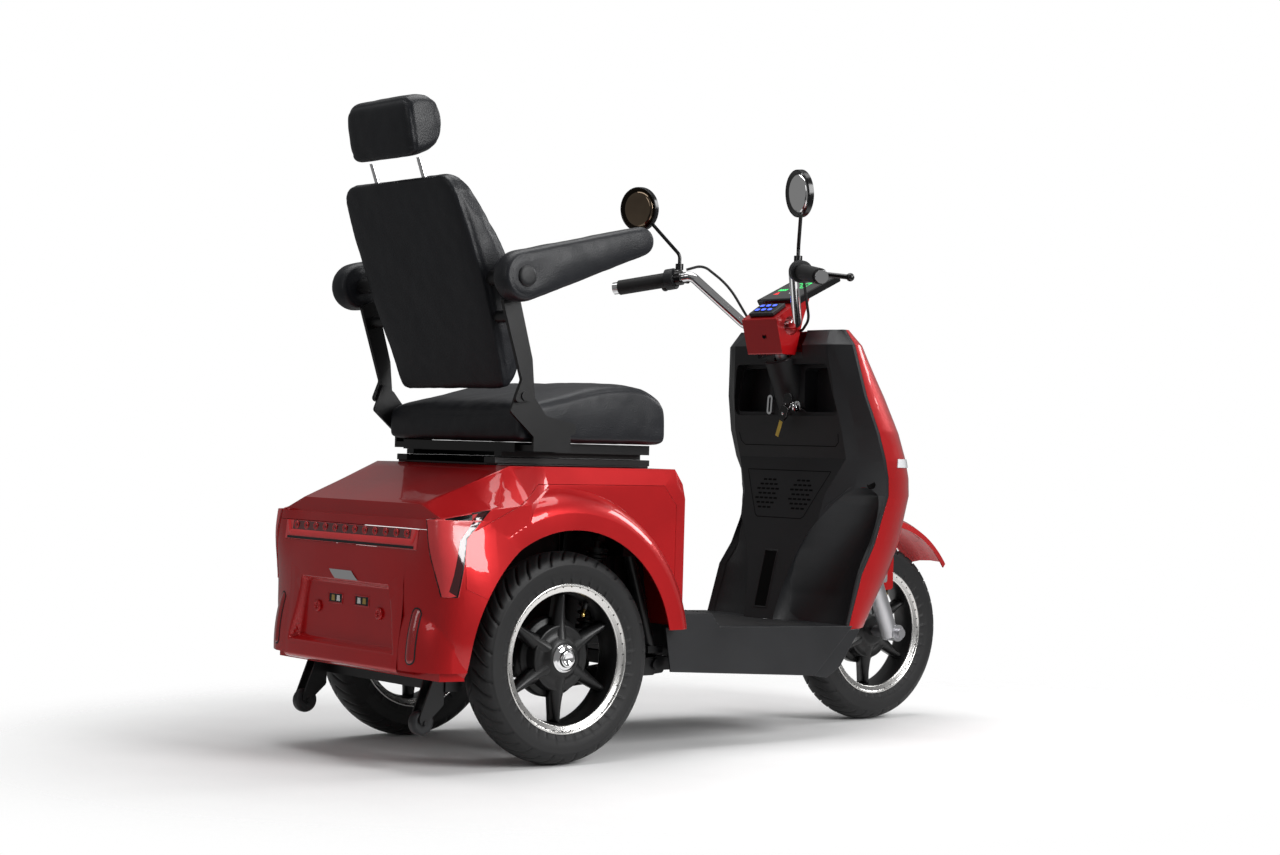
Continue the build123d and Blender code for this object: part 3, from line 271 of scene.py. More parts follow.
# ---- mesh makers ---------------------------------------------------------------------------
def add(name, points, faces, body, material, slot=None, replaces=(), smooth=True, edge=0.0):
    """Makes a mesh piece from points and faces, riding on a body."""
    data = bpy.data.meshes.new(name)
    data.from_pydata([tuple(p) for p in points], [], faces)
    data.validate()
    made = bmesh.new()
    made.from_mesh(data)
    bmesh.ops.recalc_face_normals(made, faces=made.faces)
    made.to_mesh(data)
    made.free()
    obj = bpy.data.objects.new(name, data)
    scene.collection.objects.link(obj)
    for item in material if isinstance(material, (list, tuple)) else [material]:
        data.materials.append(item)
    for face in data.polygons:
        face.use_smooth = smooth
    if edge:
        soften(obj, edge)
    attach(obj, body)
    if replaces:
        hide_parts(*replaces)
    return obj


def loops(rings, closed_rings=True, closed_path=False, caps=True):
    """Faces that join rings of equal point counts."""
    count, faces = len(rings[0]), []
    last = len(rings) if closed_path else len(rings) - 1
    for i in range(last):
        for j in range(count if closed_rings else count - 1):
            a, b = i * count, (i + 1) % len(rings) * count
            k = (j + 1) % count
            faces.append((a + j, a + k, b + k, b + j))
    if caps and not closed_path:
        faces += [tuple(range(count)), tuple(range((len(rings) - 1) * count, len(rings) * count))]
    return [p for ring in rings for p in ring], faces


def sheet(rings):
    """Faces of an open skin."""
    return loops(rings, closed_rings=False, caps=False)


def hoop(rings):
    """Faces of a skin that comes round to its own start."""
    return loops(rings, closed_rings=False, closed_path=True, caps=False)


def around(steps):
    """Angles at even steps round a circle."""
    return [2 * math.pi * k / steps for k in range(steps)]


def circle(spot, side, other, radius, steps):
    """Places round a spot, in the plane of two directions."""
    return [spot + (side * math.cos(a) + other * math.sin(a)) * radius for a in around(steps)]


def lathe(profile, centre, steps=96, face=1):
    """Points and faces of (radius, outward) turned about a wheel's axle."""
    return hoop([[centre + Vector((r * math.cos(a), face * y, r * math.sin(a))) for r, y in profile]
                 for a in around(steps)])


def both_of(*parts):
    """Several (points, faces) as one."""
    points, faces = [], []
    for more, joined in parts:
        base = len(points)
        points += more
        faces += [tuple(base + k for k in f) for f in joined]
    return points, faces


# ---- wheels --------------------------------------------------------------------------------
def tyre(name, body, pitches=42):
    """A road tyre: slanted grooves run from the crown over each shoulder, and rings mark the sidewalls."""
    low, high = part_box(name)
    centre, radius, half = (low + high) / 2, (high.z - low.z) / 2, (high.y - low.y) / 2
    section = [(0.140, 0.80), (0.1435, 0.845), (0.1475, 0.875), (0.152, 0.90), (0.1555, 0.935),
               (0.1575, 0.935), (0.160, 0.955), (0.166, 0.985), (0.172, 1.0), (0.178, 0.995), (0.1795, 1.0),
               (0.182, 0.995),
               (0.1835, 0.97), (0.1865, 0.95), (0.190, 0.915), (0.1938, 0.85), (0.1968, 0.77), (0.1992, 0.66),
               (0.2012, 0.54), (0.2028, 0.41), (0.2039, 0.28), (0.2046, 0.16), (0.205, 0.07)]
    drawn_radius, groove_depth = 0.205, 0.0032
    section = [(r * radius / drawn_radius, w * half) for r, w in section]
    line = [(r, -w) for r, w in section] + [(r, w) for r, w in reversed(section)]
    steps = (0.0, 0.03, 0.13, 0.16, 0.37, 0.58, 0.79)
    rings = []
    for pitch in range(pitches):
        for k, part in enumerate(steps):
            ring = []
            for r, y in line:
                across = abs(y) / half
                slant = 1.35 * across + (0.5 if y > 0 else 0)
                a = 2 * math.pi * (pitch + part + slant) / pitches
                groove = k in (1, 2) and 0.12 < across < (0.95 if pitch % 2 else 0.9)
                depth = groove_depth if groove else 0
                if 0.12 < across < 0.2 and pitch % 2:
                    depth = 0
                ring.append(centre + Vector(((r - depth) * math.cos(a), y, (r - depth) * math.sin(a))))
            rings.append(ring)
    add(name + "_tread", *hoop(rings), body, rubber, "tyre_rubber", (name,))


def spoke(centre, turn, face, root, tip, depth):
    """One blade of a cast wheel: wide and deep at the hub, drawn to a ridge that narrows to the rim."""
    along = Vector((math.cos(turn), 0, math.sin(turn)))
    side = Vector((-math.sin(turn), 0, math.cos(turn)))
    out = Vector((0, face, 0))
    rings = []
    for i in range(13):
        t = i / 12
        base = centre + along * (root + (tip - root) * t)
        wide = 0.0150 * (1 - t) ** 1.2 + 0.0068
        ridge = 0.0014 + 0.0022 * (1 - t)
        top = depth[0] + (depth[1] - depth[0]) * t - 0.005 * math.sin(math.pi * t)
        crest = 0.0075 * (1 - 0.45 * t)
        rings.append([base + side * w + out * h for w, h in (
            (-wide * 0.8, -0.016), (-wide, top - 0.007), (-wide * 0.93, top - 0.002),
            (-wide * 0.55, top + crest * 0.3), (-ridge, top + crest), (ridge, top + crest),
            (wide * 0.55, top + crest * 0.3),
            (wide * 0.93, top - 0.002), (wide, top - 0.007), (wide * 0.8, -0.016))])
    return loops(rings)


def wheel(node, body, face, tyre_node):
    """A cast wheel: machined two-step lips, a dark barrel, six ridged blades, a dished hub and its cap."""
    low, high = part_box(tyre_node)
    centre = (low + high) / 2
    lip = [(0.1445, 0.0335), (0.1445, 0.0352), (0.1432, 0.0364), (0.1412, 0.0362), (0.1398, 0.0346),
           (0.1388, 0.0330), (0.1378, 0.0326), (0.1300, 0.0306), (0.1288, 0.0302), (0.1279, 0.0290),
           (0.1274, 0.0268)]
    barrel = [(0.1262, 0.0225), (0.1240, 0.0120), (0.1232, 0.0)]
    seat = [(0.1300, 0.0), (0.1310, 0.0220), (0.1360, 0.0290)]
    outer = lip + barrel
    rim = outer + [(r, -y) for r, y in reversed(outer[:-1])] + [(r, -y) for r, y in reversed(seat)] + seat[1:]
    cast = both_of(lathe(rim, centre, 128, face),
                   *[spoke(centre, math.radians(29 + 60 * k), face, 0.026, 0.1255, (0.0165, 0.0115))
                     for k in range(6)])
    obj = add(node + "_cast", *cast, body, [black_cast, machined], "black_alloy", (node,))
    lip_radius, lip_depth = 0.1274, 0.0266
    for part in obj.data.polygons:
        spot = part.center - centre
        reach, deep = math.hypot(spot.x, spot.z), abs(spot.y) - lip_depth
        if reach > lip_radius and deep > 0 and reach + 0.2 * deep > lip_radius:
            part.material_index = 1 if abs(part.normal.y) > 0.2 or reach < 0.1285 or reach > 0.1425 else 0
    hub = [(0.0001, 0.0245), (0.0300, 0.0245), (0.0345, 0.0235), (0.0400, 0.0175), (0.0460, 0.0140),
           (0.0560, 0.0128), (0.0600, 0.0140), (0.0625, 0.0136), (0.0640, 0.0120), (0.0645, -0.0090),
           (0.0665, -0.0110), (0.0760, -0.0125), (0.0780, -0.0150), (0.0782, -0.0340), (0.0760, -0.0360),
           (0.0001, -0.0360)]
    add(node + "_hub", *lathe(hub, centre, 96, face), body, black_cast, "black_alloy")
    if node == "front_wheel":
        return centre
    cap = [(0.0001, 0.0360), (0.0100, 0.0360), (0.0106, 0.0372), (0.0150, 0.0372), (0.0160, 0.0362),
           (0.0163, 0.0305), (0.0172, 0.0296), (0.0205, 0.0292), (0.0222, 0.0282), (0.0228, 0.0262),
           (0.0262, 0.0258), (0.0270, 0.0250), (0.0270, 0.0238), (0.0001, 0.0238)]
    add(node + "_cap", *lathe(cap, centre, 64, face), body, chrome, "chrome")
    return centre


def valve(node, body, centre, face, turn):
    """A brass tyre valve with its black base, standing in from the rim's barrel."""
    along = Vector((math.cos(turn), 0, math.sin(turn)))
    side = Vector((-math.sin(turn), 0, math.cos(turn)))
    out = Vector((0, face, 0))
    root = 0.1245
    stem = [(root, 0.0062), (0.1200, 0.0060), (0.1150, 0.0044), (0.1090, 0.0040), (0.1085, 0.0030),
            (0.1010, 0.0030), (0.1005, 0.0040), (0.0930, 0.0038), (0.0925, 0.0026)]
    for name, span, material in (("stem", stem[:5], rubber), ("nipple", stem[4:], brass)):
        rings = [circle(centre + along * r + out * (0.004 + (root - r) * 0.35), side, out, wide, 16)
                 for r, wide in span]
        add(f"{node}_valve_{name}", *loops(rings), body, material)


for wheel_node, wheel_body, wheel_face, tyre_name in (
        ("rear_wheel_right", "rear_wheel_right", -1, "rear_tyre_right"),
        ("rear_wheel_left", "rear_wheel_left", 1, "rear_tyre_left"),
        ("front_wheel", "front_wheel", -1, "front_tyre")):
    tyre(tyre_name, wheel_body)
    middle = wheel(wheel_node, wheel_body, wheel_face, tyre_name)
    valve(wheel_node, wheel_body, middle, wheel_face, math.radians(58))


# ---- padded pieces -------------------------------------------------------------------------
swell_frames = 20


def curve_value(points, x):
    """Reads a smooth line through (position, value) points."""
    if x <= points[0][0]:
        return points[0][1]
    for k in range(len(points) - 1):
        (x0, y0), (x1, y1) = points[k], points[k + 1]
        if x <= x1:
            t = (x - x0) / (x1 - x0)
            before = points[k - 1] if k else points[k]
            after = points[k + 2] if k + 2 < len(points) else points[k + 1]
            m0 = (y1 - before[1]) / max(1e-9, x1 - before[0]) * (x1 - x0)
            m1 = (after[1] - y0) / max(1e-9, after[0] - x0) * (x1 - x0)
            return ((2 * t ** 3 - 3 * t * t + 1) * y0 + (t ** 3 - 2 * t * t + t) * m0
                    + (3 * t * t - 2 * t ** 3) * y1 + (t ** 3 - t * t) * m1)
    return points[-1][1]


def oval(w, low, high, sharp_low, sharp_high, count=72):
    """A closed section of half-width w between two levels, squarer where sharp is high."""
    made = []
    middle, reach = (low + high) / 2, (high - low) / 2
    for k in range(count):
        a = 2 * math.pi * k / count
        power = 2 / (sharp_high if math.sin(a) > 0 else sharp_low)
        made.append((w * math.copysign(abs(math.cos(a)) ** power, math.cos(a)),
                     middle + reach * math.copysign(abs(math.sin(a)) ** power, math.sin(a))))
    return made


def end_fall(x, low, high, radius):
    """How far a section draws in near the rounded ends."""
    near = min(x - low, high - x)
    return 0.0 if near >= radius else radius - math.sqrt(max(0.0, radius ** 2 - (radius - near) ** 2))


def stations(low, high, radius, count=24):
    """Positions along a pad, closer together over its rounded ends."""
    ends = [radius * (1 - math.cos(math.pi / 2 * k / 6)) for k in range(6)]
    span = [low + radius + (high - low - 2 * radius) * k / count for k in range(count + 1)]
    return [low + e for e in ends] + span + [high - e for e in reversed(ends)]


def pad(name, node, body, points, faces, held, voxel=0.005, cap=0.007, pressure=4.0, grooves=()):
    """A sewn cushion: its form is filled by a pressure simulation, held where it is sewn or rests."""
    raw = add(name + "_form", points, faces, body, leather)
    remesh = raw.modifiers.new("voxels", "REMESH")
    remesh.mode, remesh.voxel_size = "VOXEL", voxel
    smooth = raw.modifiers.new("even", "SMOOTH")
    smooth.factor, smooth.iterations = 0.5, 4
    start = bpy.data.meshes.new_from_object(raw.evaluated_get(bpy.context.evaluated_depsgraph_get()))
    bpy.data.objects.remove(raw)
    obj = bpy.data.objects.new(name, start)
    scene.collection.objects.link(obj)
    rest = [v.co.copy() for v in start.vertices]
    group = obj.vertex_groups.new(name="sewn")
    for k, spot in enumerate(rest):
        weight = held(spot)
        if weight > 0:
            group.add([k], weight, "REPLACE")
    cloth = obj.modifiers.new("cloth", "CLOTH")
    cloth.settings.use_pressure, cloth.settings.uniform_pressure_force = True, pressure
    cloth.settings.effector_weights.gravity = 0
    cloth.settings.vertex_group_mass = "sewn"
    cloth.settings.quality = 4
    cloth.settings.tension_stiffness = cloth.settings.compression_stiffness = 12
    cloth.settings.bending_stiffness = 0.4
    cloth.collision_settings.use_self_collision = False
    for step in range(1, swell_frames + 1):
        scene.frame_set(step)
    swelled = obj.evaluated_get(bpy.context.evaluated_depsgraph_get()).data
    moved = [v.co.copy() for v in swelled.vertices]
    obj.modifiers.remove(cloth)
    scene.frame_set(1)
    for k, spot in enumerate(rest):
        change = moved[k] - spot
        if change.length > cap:
            change = change.normalized() * (cap * (2 - cap / change.length))
        start.vertices[k].co = spot + change * 0.8
    obj.vertex_groups.clear()
    start.update()
    for k, vertex in enumerate(start.vertices):
        spot = rest[k]
        ripple = noise.noise(spot * 38) * 0.0007 + noise.noise(spot * 15 + Vector((3, 1, 7))) * 0.0011
        pull = sum(depth * math.exp(-(line(spot) / width) ** 2) for line, depth, width in grooves)
        vertex.co += vertex.normal * (ripple - pull)
    for face in start.polygons:
        face.use_smooth = True
    start.materials.clear()
    start.materials.append(leather)
    fine = obj.modifiers.new("fine", "SUBSURF")
    fine.levels = fine.render_levels = 1
    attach(obj, body)
    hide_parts(node)
    return obj


def make_cushion():
    """Seat cushion: low behind, highest over the thighs, rounded at its front edge."""
    top = [(-90, 684), (-70, 692), (-30, 702), (30, 716), (90, 731), (150, 740), (200, 741), (245, 732),
           (275, 714), (288, 696)]
    rings = []
    for x in stations(-87, 286, 16):
        fall = end_fall(x, -87, 286, 16)
        height = curve_value(top, x)
        ring = []
        for u, z in oval(224 - fall * 0.7, 618 + fall * 0.6, height - fall, 14, 7):
            dish = 7 * max(0.0, 1 - (u / 170) ** 2) ** 1.5 if z > 680 else 0
            ring.append(at(x, u, z - dish))
        rings.append(ring)
    points, faces = loops(rings)

    def held(spot):
        x, y, z = (spot.x - shift) * 1000, abs(spot.y) * 1000, spot.z * 1000
        edge = curve_value(top, x)
        if z < 632:
            return 1.0
        return 0.95 if y > 205 and z > edge - 24 or (y > 212 and x < -76) else 0.0

    def top_line(spot):
        x, y, z = (spot.x - shift) * 1000, abs(spot.y) * 1000, spot.z * 1000
        return abs(z - curve_value(top, x) + 14) if y > 205 or x < -70 else 99

    def corner_line(spot):
        x, y = (spot.x - shift) * 1000, spot.y * 1000
        return min(abs(x + 62), abs(x + 54)) if abs(y) > 214 else 99

    pad("seat_pad", "seat_cushion", "seat", points, faces, held, cap=0.008,
        grooves=((top_line, 0.0016, 3.5), (corner_line, 0.001, 3)))


turn_back = math.radians(21)
hinge = Vector((-0.091 + shift, 0, 0.705))
along_back = Vector((-math.sin(turn_back), 0, math.cos(turn_back)))
out_of_back = Vector((math.cos(turn_back), 0, math.sin(turn_back)))


def back_spot(along, across, out):
    """A place in millimetres up the backrest, across it and out from it."""
    return hinge + along_back * (along / 1000) + out_of_back * (out / 1000) + Vector((0, across / 1000, 0))


def on_back(spot):
    """How far up the backrest, across it and out from it a place is, in millimetres."""
    rel = (spot - hinge) * 1000
    return rel.dot(along_back), rel.y, rel.dot(out_of_back)


def make_backrest():
    """Backrest: a flat rear panel sewn to a crowned front with side wings."""
    front = [(8, 44), (28, 62), (70, 96), (135, 114), (258, 109), (334, 87), (400, 64), (438, 46)]
    half = [(8, 172), (60, 180), (215, 197), (330, 196), (400, 190), (438, 184)]
    rings = []
    for a in stations(10, 438, 20, 30):
        fall = end_fall(a, 10, 438, 20)
        square = end_fall(a, -40, 438, 44) * 0.55
        ring = []
        wide, deep = curve_value(half, a) - fall * 0.3 - square, curve_value(front, a) - fall * 0.8
        for u, o in oval(wide, 5 + fall * 0.55, deep, 11, 3.6):
            dish = 15 * max(0.0, 1 - (u / 150) ** 2) ** 1.5 if o > 40 else 0
            ring.append(back_spot(a, u, o - dish))
        rings.append(ring)
    points, faces = loops(rings)

    def held(spot):
        a, u, o = on_back(spot)
        side = curve_value(half, a)
        return 0.95 if o < 22 and (abs(u) > side - 20 or a > 418 or a < 24) else (0.75 if o < 22 else 0.0)

    def rear_seam(spot):
        a, u, o = on_back(spot)
        return abs(o - 19) if abs(u) > 150 or a > 415 or a < 25 else 99

    def wing_seam(spot):
        a, u, o = on_back(spot)
        return abs(o - 0.66 * curve_value(front, a)) if abs(u) > 165 else 99

    pad("backrest_pad", "backrest", "back", points, faces, held, cap=0.009,
        grooves=((rear_seam, 0.0022, 3.5), (wing_seam, 0.0014, 3)))


lean = math.radians(12)
head_middle = back_spot(532, 0, 44)
head_up = Vector((-math.sin(lean), 0, math.cos(lean)))
head_out = Vector((math.cos(lean), 0, math.sin(lean)))


def make_headrest():
    """Headrest: a flat rear panel, a D-shaped body in front of it, and a flap under its rear edge."""
    outline = [(-40, -50), (-42, -20), (-41, 20), (-38, 42), (-31, 54), (-18, 60), (0, 61), (20, 57),
               (36, 44), (42, 22), (42, 0), (37, -22), (26, -40), (8, -50), (-14, -55), (-32, -56)]
    rings = []
    for u in stations(-111, 111, 26, 18):
        fall = end_fall(u, -111, 111, 26)
        ring = []
        for k in range(len(outline) * 4):
            part = k / 4
            i, t = int(part), part - int(part)
            (x0, z0), (x1, z1) = outline[i], outline[(i + 1) % len(outline)]
            o, h = x0 + (x1 - x0) * t, z0 + (z1 - z0) * t
            shrink_o, shrink_h = 1 - fall / 95, 1 - fall / 78
            ring.append(head_middle + head_out * ((o + 4) * shrink_o - 4) / 1000
                        + head_up * (h * shrink_h) / 1000 + Vector((0, u / 1000, 0)))
        rings.append(ring)
    points, faces = loops(rings)

    def place(spot):
        rel = (spot - head_middle) * 1000
        return rel.dot(head_out), rel.y, rel.dot(head_up)

    def held(spot):
        o, u, h = place(spot)
        return 0.9 if o < -26 and (abs(u) > 88 or h > 42) else (0.8 if h < -50 or o < -34 else 0.0)

    def frame_seam(spot):
        o, u, h = place(spot)
        return abs(o + 31) if o < -20 and h > -44 else 99

    def flap_seam(spot):
        o, u, h = place(spot)
        return abs(h + 36) if o < -30 else 99

    def side_seam(spot):
        o, u, h = place(spot)
        return abs(o - 25) if abs(u) > 88 else 99

    pad("headrest_pad", "headrest", "back", points, faces, held, voxel=0.004, cap=0.005,
        grooves=((frame_seam, 0.0022, 3), (flap_seam, 0.0016, 2.5), (side_seam, 0.0012, 2.5)))


def make_armrest():
    """Padded armrest: a round root and a taper to the tip, wider than the hand; its twin is mirrored."""
    tilt, length = math.radians(17), 0.3
    root = Vector((-0.138 + shift, 0, 0.928))
    tip = root + Vector((math.cos(tilt), 0, math.sin(tilt))) * length
    lead = math.asin((0.049 - 0.029) / length)
    rings = []
    middle, half_width, corner = -0.280, 0.0255, 0.014
    levels = [(-half_width, corner * 1.3), (-half_width + 0.0012, corner * 0.8)]
    levels += [(-half_width + corner * (1 - math.cos(a)), corner * (1 - math.sin(a)))
               for a in [math.pi / 2 * k / 5 for k in range(1, 6)]]
    levels += [(0.0, -0.0004)] + [(-y, inset) for y, inset in reversed(levels)]
    for y, inset in levels:
        ring = []
        for a in around(96):
            turn = a + tilt
            near = math.cos(a) < math.sin(lead)
            centre, r = (root, 0.0485) if near else (tip, 0.0285)
            ring.append(centre + Vector((math.cos(turn), 0, math.sin(turn))) * (r - inset)
                        + Vector((0, middle + y, 0)))
        rings.append(ring)
    points, faces = loops(rings)

    def held(spot):
        if (spot - root).xz.length < 0.024:
            return 0.9
        return 0.6 if abs(abs(spot.y - middle) - 0.017) < 0.004 else 0.0

    def edge_seam(spot):
        return abs(abs(spot.y - middle) * 1000 - 16)

    def disc_seam(spot):
        gap = abs((spot - root).xz.length * 1000 - 36)
        return gap if spot.x < root.x + 0.012 and abs(spot.y - middle) > 0.02 else 99

    obj = pad("armrest_pad_right", "armrest_right", "armrest_right", points, faces, held, voxel=0.004,
              cap=0.003, grooves=((edge_seam, 0.0009, 2), (disc_seam, 0.0012, 2.2)))
    twin = bpy.data.objects.new("armrest_pad_left", obj.data.copy())
    scene.collection.objects.link(twin)
    for vertex in twin.data.vertices:
        vertex.co.y = -vertex.co.y
    twin.data.flip_normals()
    fine = twin.modifiers.new("fine", "SUBSURF")
    fine.levels = fine.render_levels = 1
    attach(twin, "armrest_left")
    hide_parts("armrest_left")
    for face, body in ((-1, "armrest_right"), (1, "armrest_left")):
        centre = Vector((root.x, face * 0.280, root.z))
        disc = [(0.0001, 0.0315), (0.012, 0.0313), (0.0178, 0.0304), (0.0196, 0.029), (0.0202, 0.027),
                (0.0202, 0.022), (0.0001, 0.022)]
        add(body + "_cap", *lathe(disc, centre, 48, face), body, black_plastic)


make_cushion()
make_backrest()
make_headrest()
make_armrest()


# ---- thin details laid on a surface --------------------------------------------------------
skins = {}
run_up = 0.25
hair = 0.0004
tail_x, plate_x, flank_y = -320, -340, 330


def laid(obj, place, ray, lift):
    """Where a place lands on a surface when it is pushed along a ray, lifted off by a hair."""
    if obj.name not in skins:
        skins[obj.name] = BVHTree.FromPolygons([v.co.copy() for v in obj.data.vertices],
                                               [tuple(face.vertices) for face in obj.data.polygons])
    hit, normal, *_ = skins[obj.name].ray_cast(place - ray * run_up, ray, run_up + 0.3)
    if hit is None:
        hit, normal, *_ = skins[obj.name].find_nearest(place)
    return hit + (normal if normal.dot(ray) < 0 else -normal) * lift


def spaced(line, step):
    """Places at even steps along a line, its corners among them."""
    spots = []
    for a, b in zip(line, line[1:]):
        count = max(1, round((b - a).length / step))
        spots += [a.lerp(b, i / count) for i in range(count)]
    return spots + [line[-1]]


def ribbon(obj, line, width, ray, rise=0.0, step=0.006):
    """A narrow band along a line on a surface."""
    ray = Vector(ray).normalized()
    spots = spaced(line, step)
    rings = []
    for i, spot in enumerate(spots):
        course = spots[min(i + 1, len(spots) - 1)] - spots[max(i - 1, 0)]
        side = course.cross(ray).normalized() * width / 2
        rings.append([laid(obj, spot - side, ray, hair), laid(obj, spot, ray, hair + rise),
                      laid(obj, spot + side, ray, hair)])
    return sheet(rings)


def film(obj, line_a, line_b, ray, lift=hair, along=8, rise=0.0):
    """A skin between two lines on a surface, raised along its middle."""
    ray, across = Vector(ray).normalized(), 3
    rings = []
    for i in range(len(line_a) - 1):
        for j in range(along + (i == len(line_a) - 2)):
            a, b = line_a[i].lerp(line_a[i + 1], j / along), line_b[i].lerp(line_b[i + 1], j / along)
            rings.append([laid(obj, a.lerp(b, k / across), ray, lift + rise * math.sin(math.pi * k / across))
                          for k in range(across + 1)])
    return sheet(rings)


def patch(obj, corners, ray, lift=hair):
    """One flat face on a surface."""
    ray = Vector(ray).normalized()
    return [laid(obj, p, ray, lift) for p in corners], [tuple(range(len(corners)))]


def turned(profile, centre, axis, steps=24):
    """Points and faces of (radius, rise) turned about an axis."""
    axis = Vector(axis).normalized()
    side = axis.orthogonal().normalized()
    other = axis.cross(side)
    return loops([circle(centre + axis * rise, side, other, r, steps) for r, rise in profile])


def pill(obj, low, high, half, ray, rise, lift=hair, steps=16):
    """A domed strip with round ends."""
    ray = Vector(ray).normalized()
    course = high - low
    side = course.cross(ray).normalized()
    length, rings = course.length, []
    for i in range(steps + 1):
        t = length * (1 - math.cos(math.pi * i / steps)) / 2
        end = min(t, length - t, half)
        w = max(0.0002, math.sqrt(max(0, half ** 2 - (half - end) ** 2)))
        spot = low + course * t / length
        rings.append([laid(obj, spot + side * w * k / 3, ray, lift + rise * (w / half) * (1 - (k / 3) ** 2))
                      for k in range(-3, 4)])
    return sheet(rings)


def sweep(places, radius, steps=10):
    """A round bar along a line of places, with closed ends."""
    rings = []
    for i, spot in enumerate(places):
        course = (places[min(i + 1, len(places) - 1)] - places[max(i - 1, 0)]).normalized()
        side = course.orthogonal().normalized()
        other = course.cross(side)
        rings.append(circle(spot, side, other, radius, steps))
    return loops(rings)


# ---- tail -----------------------------------------------------------------------------------
ahead, down = Vector((1, 0, 0)), Vector((0, 0, -1))


def make_light_bar():
    """The dark window with its row of round lights, and the lit lip under it."""
    lamps = nodes["rear_lamps"]
    upper, lower = [[at(tail_x, y, z) for y in (-206, 206)] for z in (450, 433)]
    window = film(lamps, upper, lower, ahead, 0.0006, along=40)
    add("light_bar_window", *window, "root", dark_lens, "red_lens")
    cups, eyes = [], []
    cup = [(0.0080, 0), (0.0078, 0.0016), (0.0064, 0.0019), (0.0042, 0.0010), (0.0026, 0.0006)]
    eye = [(0.0025, 0.0005), (0.0022, 0.0016), (0.0010, 0.0022), (0.0002, 0.0023)]
    for i in range(12):
        spot = laid(lamps, at(tail_x, -193 + i * 386 / 11, 441.5), ahead, 0.0006)
        cups.append(turned(cup, spot, -ahead))
        eyes.append(turned(eye, spot, -ahead, 12))
    add("light_bar_cups", *both_of(*cups), "root", cup_red, "red_lens")
    add("light_bar_eyes", *both_of(*eyes), "root", dark_lens, "red_lens")
    line = [at(tail_x, y, z) for y, z in ((-224, 450), (-214, 427), (214, 427), (224, 450))]
    add("light_bar_lip", *ribbon(lamps, line, 0.0105, ahead, rise=0.0022), "root", lit_red, "red_lens")
    gap = ribbon(lamps, [at(tail_x, -222, 417), at(tail_x, 222, 417)], 0.005, ahead)
    add("light_bar_gap", *gap, "root", gloss_plastic, "black_plastic")


def make_corner_lamps():
    """The smoked band and black rim of each corner lamp."""
    lamps = nodes["rear_lamps"]
    for side, word in ((-1, "right"), (1, "left")):
        inward, flank = (0, -side, 0), side * flank_y
        outer = [at(-205, flank, 489), at(-257, flank, 437), at(-278, flank, 331)]
        inner = [at(-226, flank, 486), at(-272, flank, 432), at(-291, flank, 340)]
        add("lamp_band_" + word, *film(lamps, outer, inner, inward, along=10), "root", smoke, "red_lens")
        rim = ribbon(lamps, [at(-298, flank, 471), *outer, at(-300, flank, 326)], 0.0028, inward)
        edge = ribbon(lamps, [at(tail_x, side * 252, 478), at(tail_x, side * 286, 330)], 0.0045, ahead)
        add("lamp_rim_" + word, *both_of(rim, edge), "root", gloss_plastic, "black_plastic")


def even_step(t):
    """A smooth step from 0 to 1."""
    t = min(1, max(0, t))
    return t * t * (3 - 2 * t)


def make_tray():
    """The tail's rear face with the moulded recess for a number plate and its rounded lower lip."""
    beside = ((178, -300), (181, -322), (185, -331), (190, -334), (212, -333), (235, -331.5), (250, -330),
              (290, -325), (330, -323), (344, -323.5), (368, -322.5))
    low, high, recess_low, recess_high, recess_x, edge_y = 178, 368, 216, 345, -312.9, 198
    heights = [low, 179.5, 181, 183, 185, 187.5, 190] + [190 + i * 178 / 60 for i in range(1, 61)]
    rings = []
    for z in heights:
        side_x = curve_value(beside, z)
        half = 152 + (recess_high - z) / 131 * 34
        ring = []
        for i in range(-66, 67):
            y = i * 3
            skin = side_x - 4.5 * (1 - (y / edge_y) ** 2) * even_step((z - low) / 12)
            inside = min((half - abs(y)) / 9, (z - recess_low) / 12, (recess_high - z) / 9)
            rim = min((edge_y - abs(y)) / 20, (high - z) / 12)
            ring.append(at(skin - 0.15 - 0.7 * even_step(rim) + (recess_x - skin) * even_step(inside), y, z))
        rings.append(ring)
    return add("tail_tray", *sheet(rings), "root", paint, "red_paint")


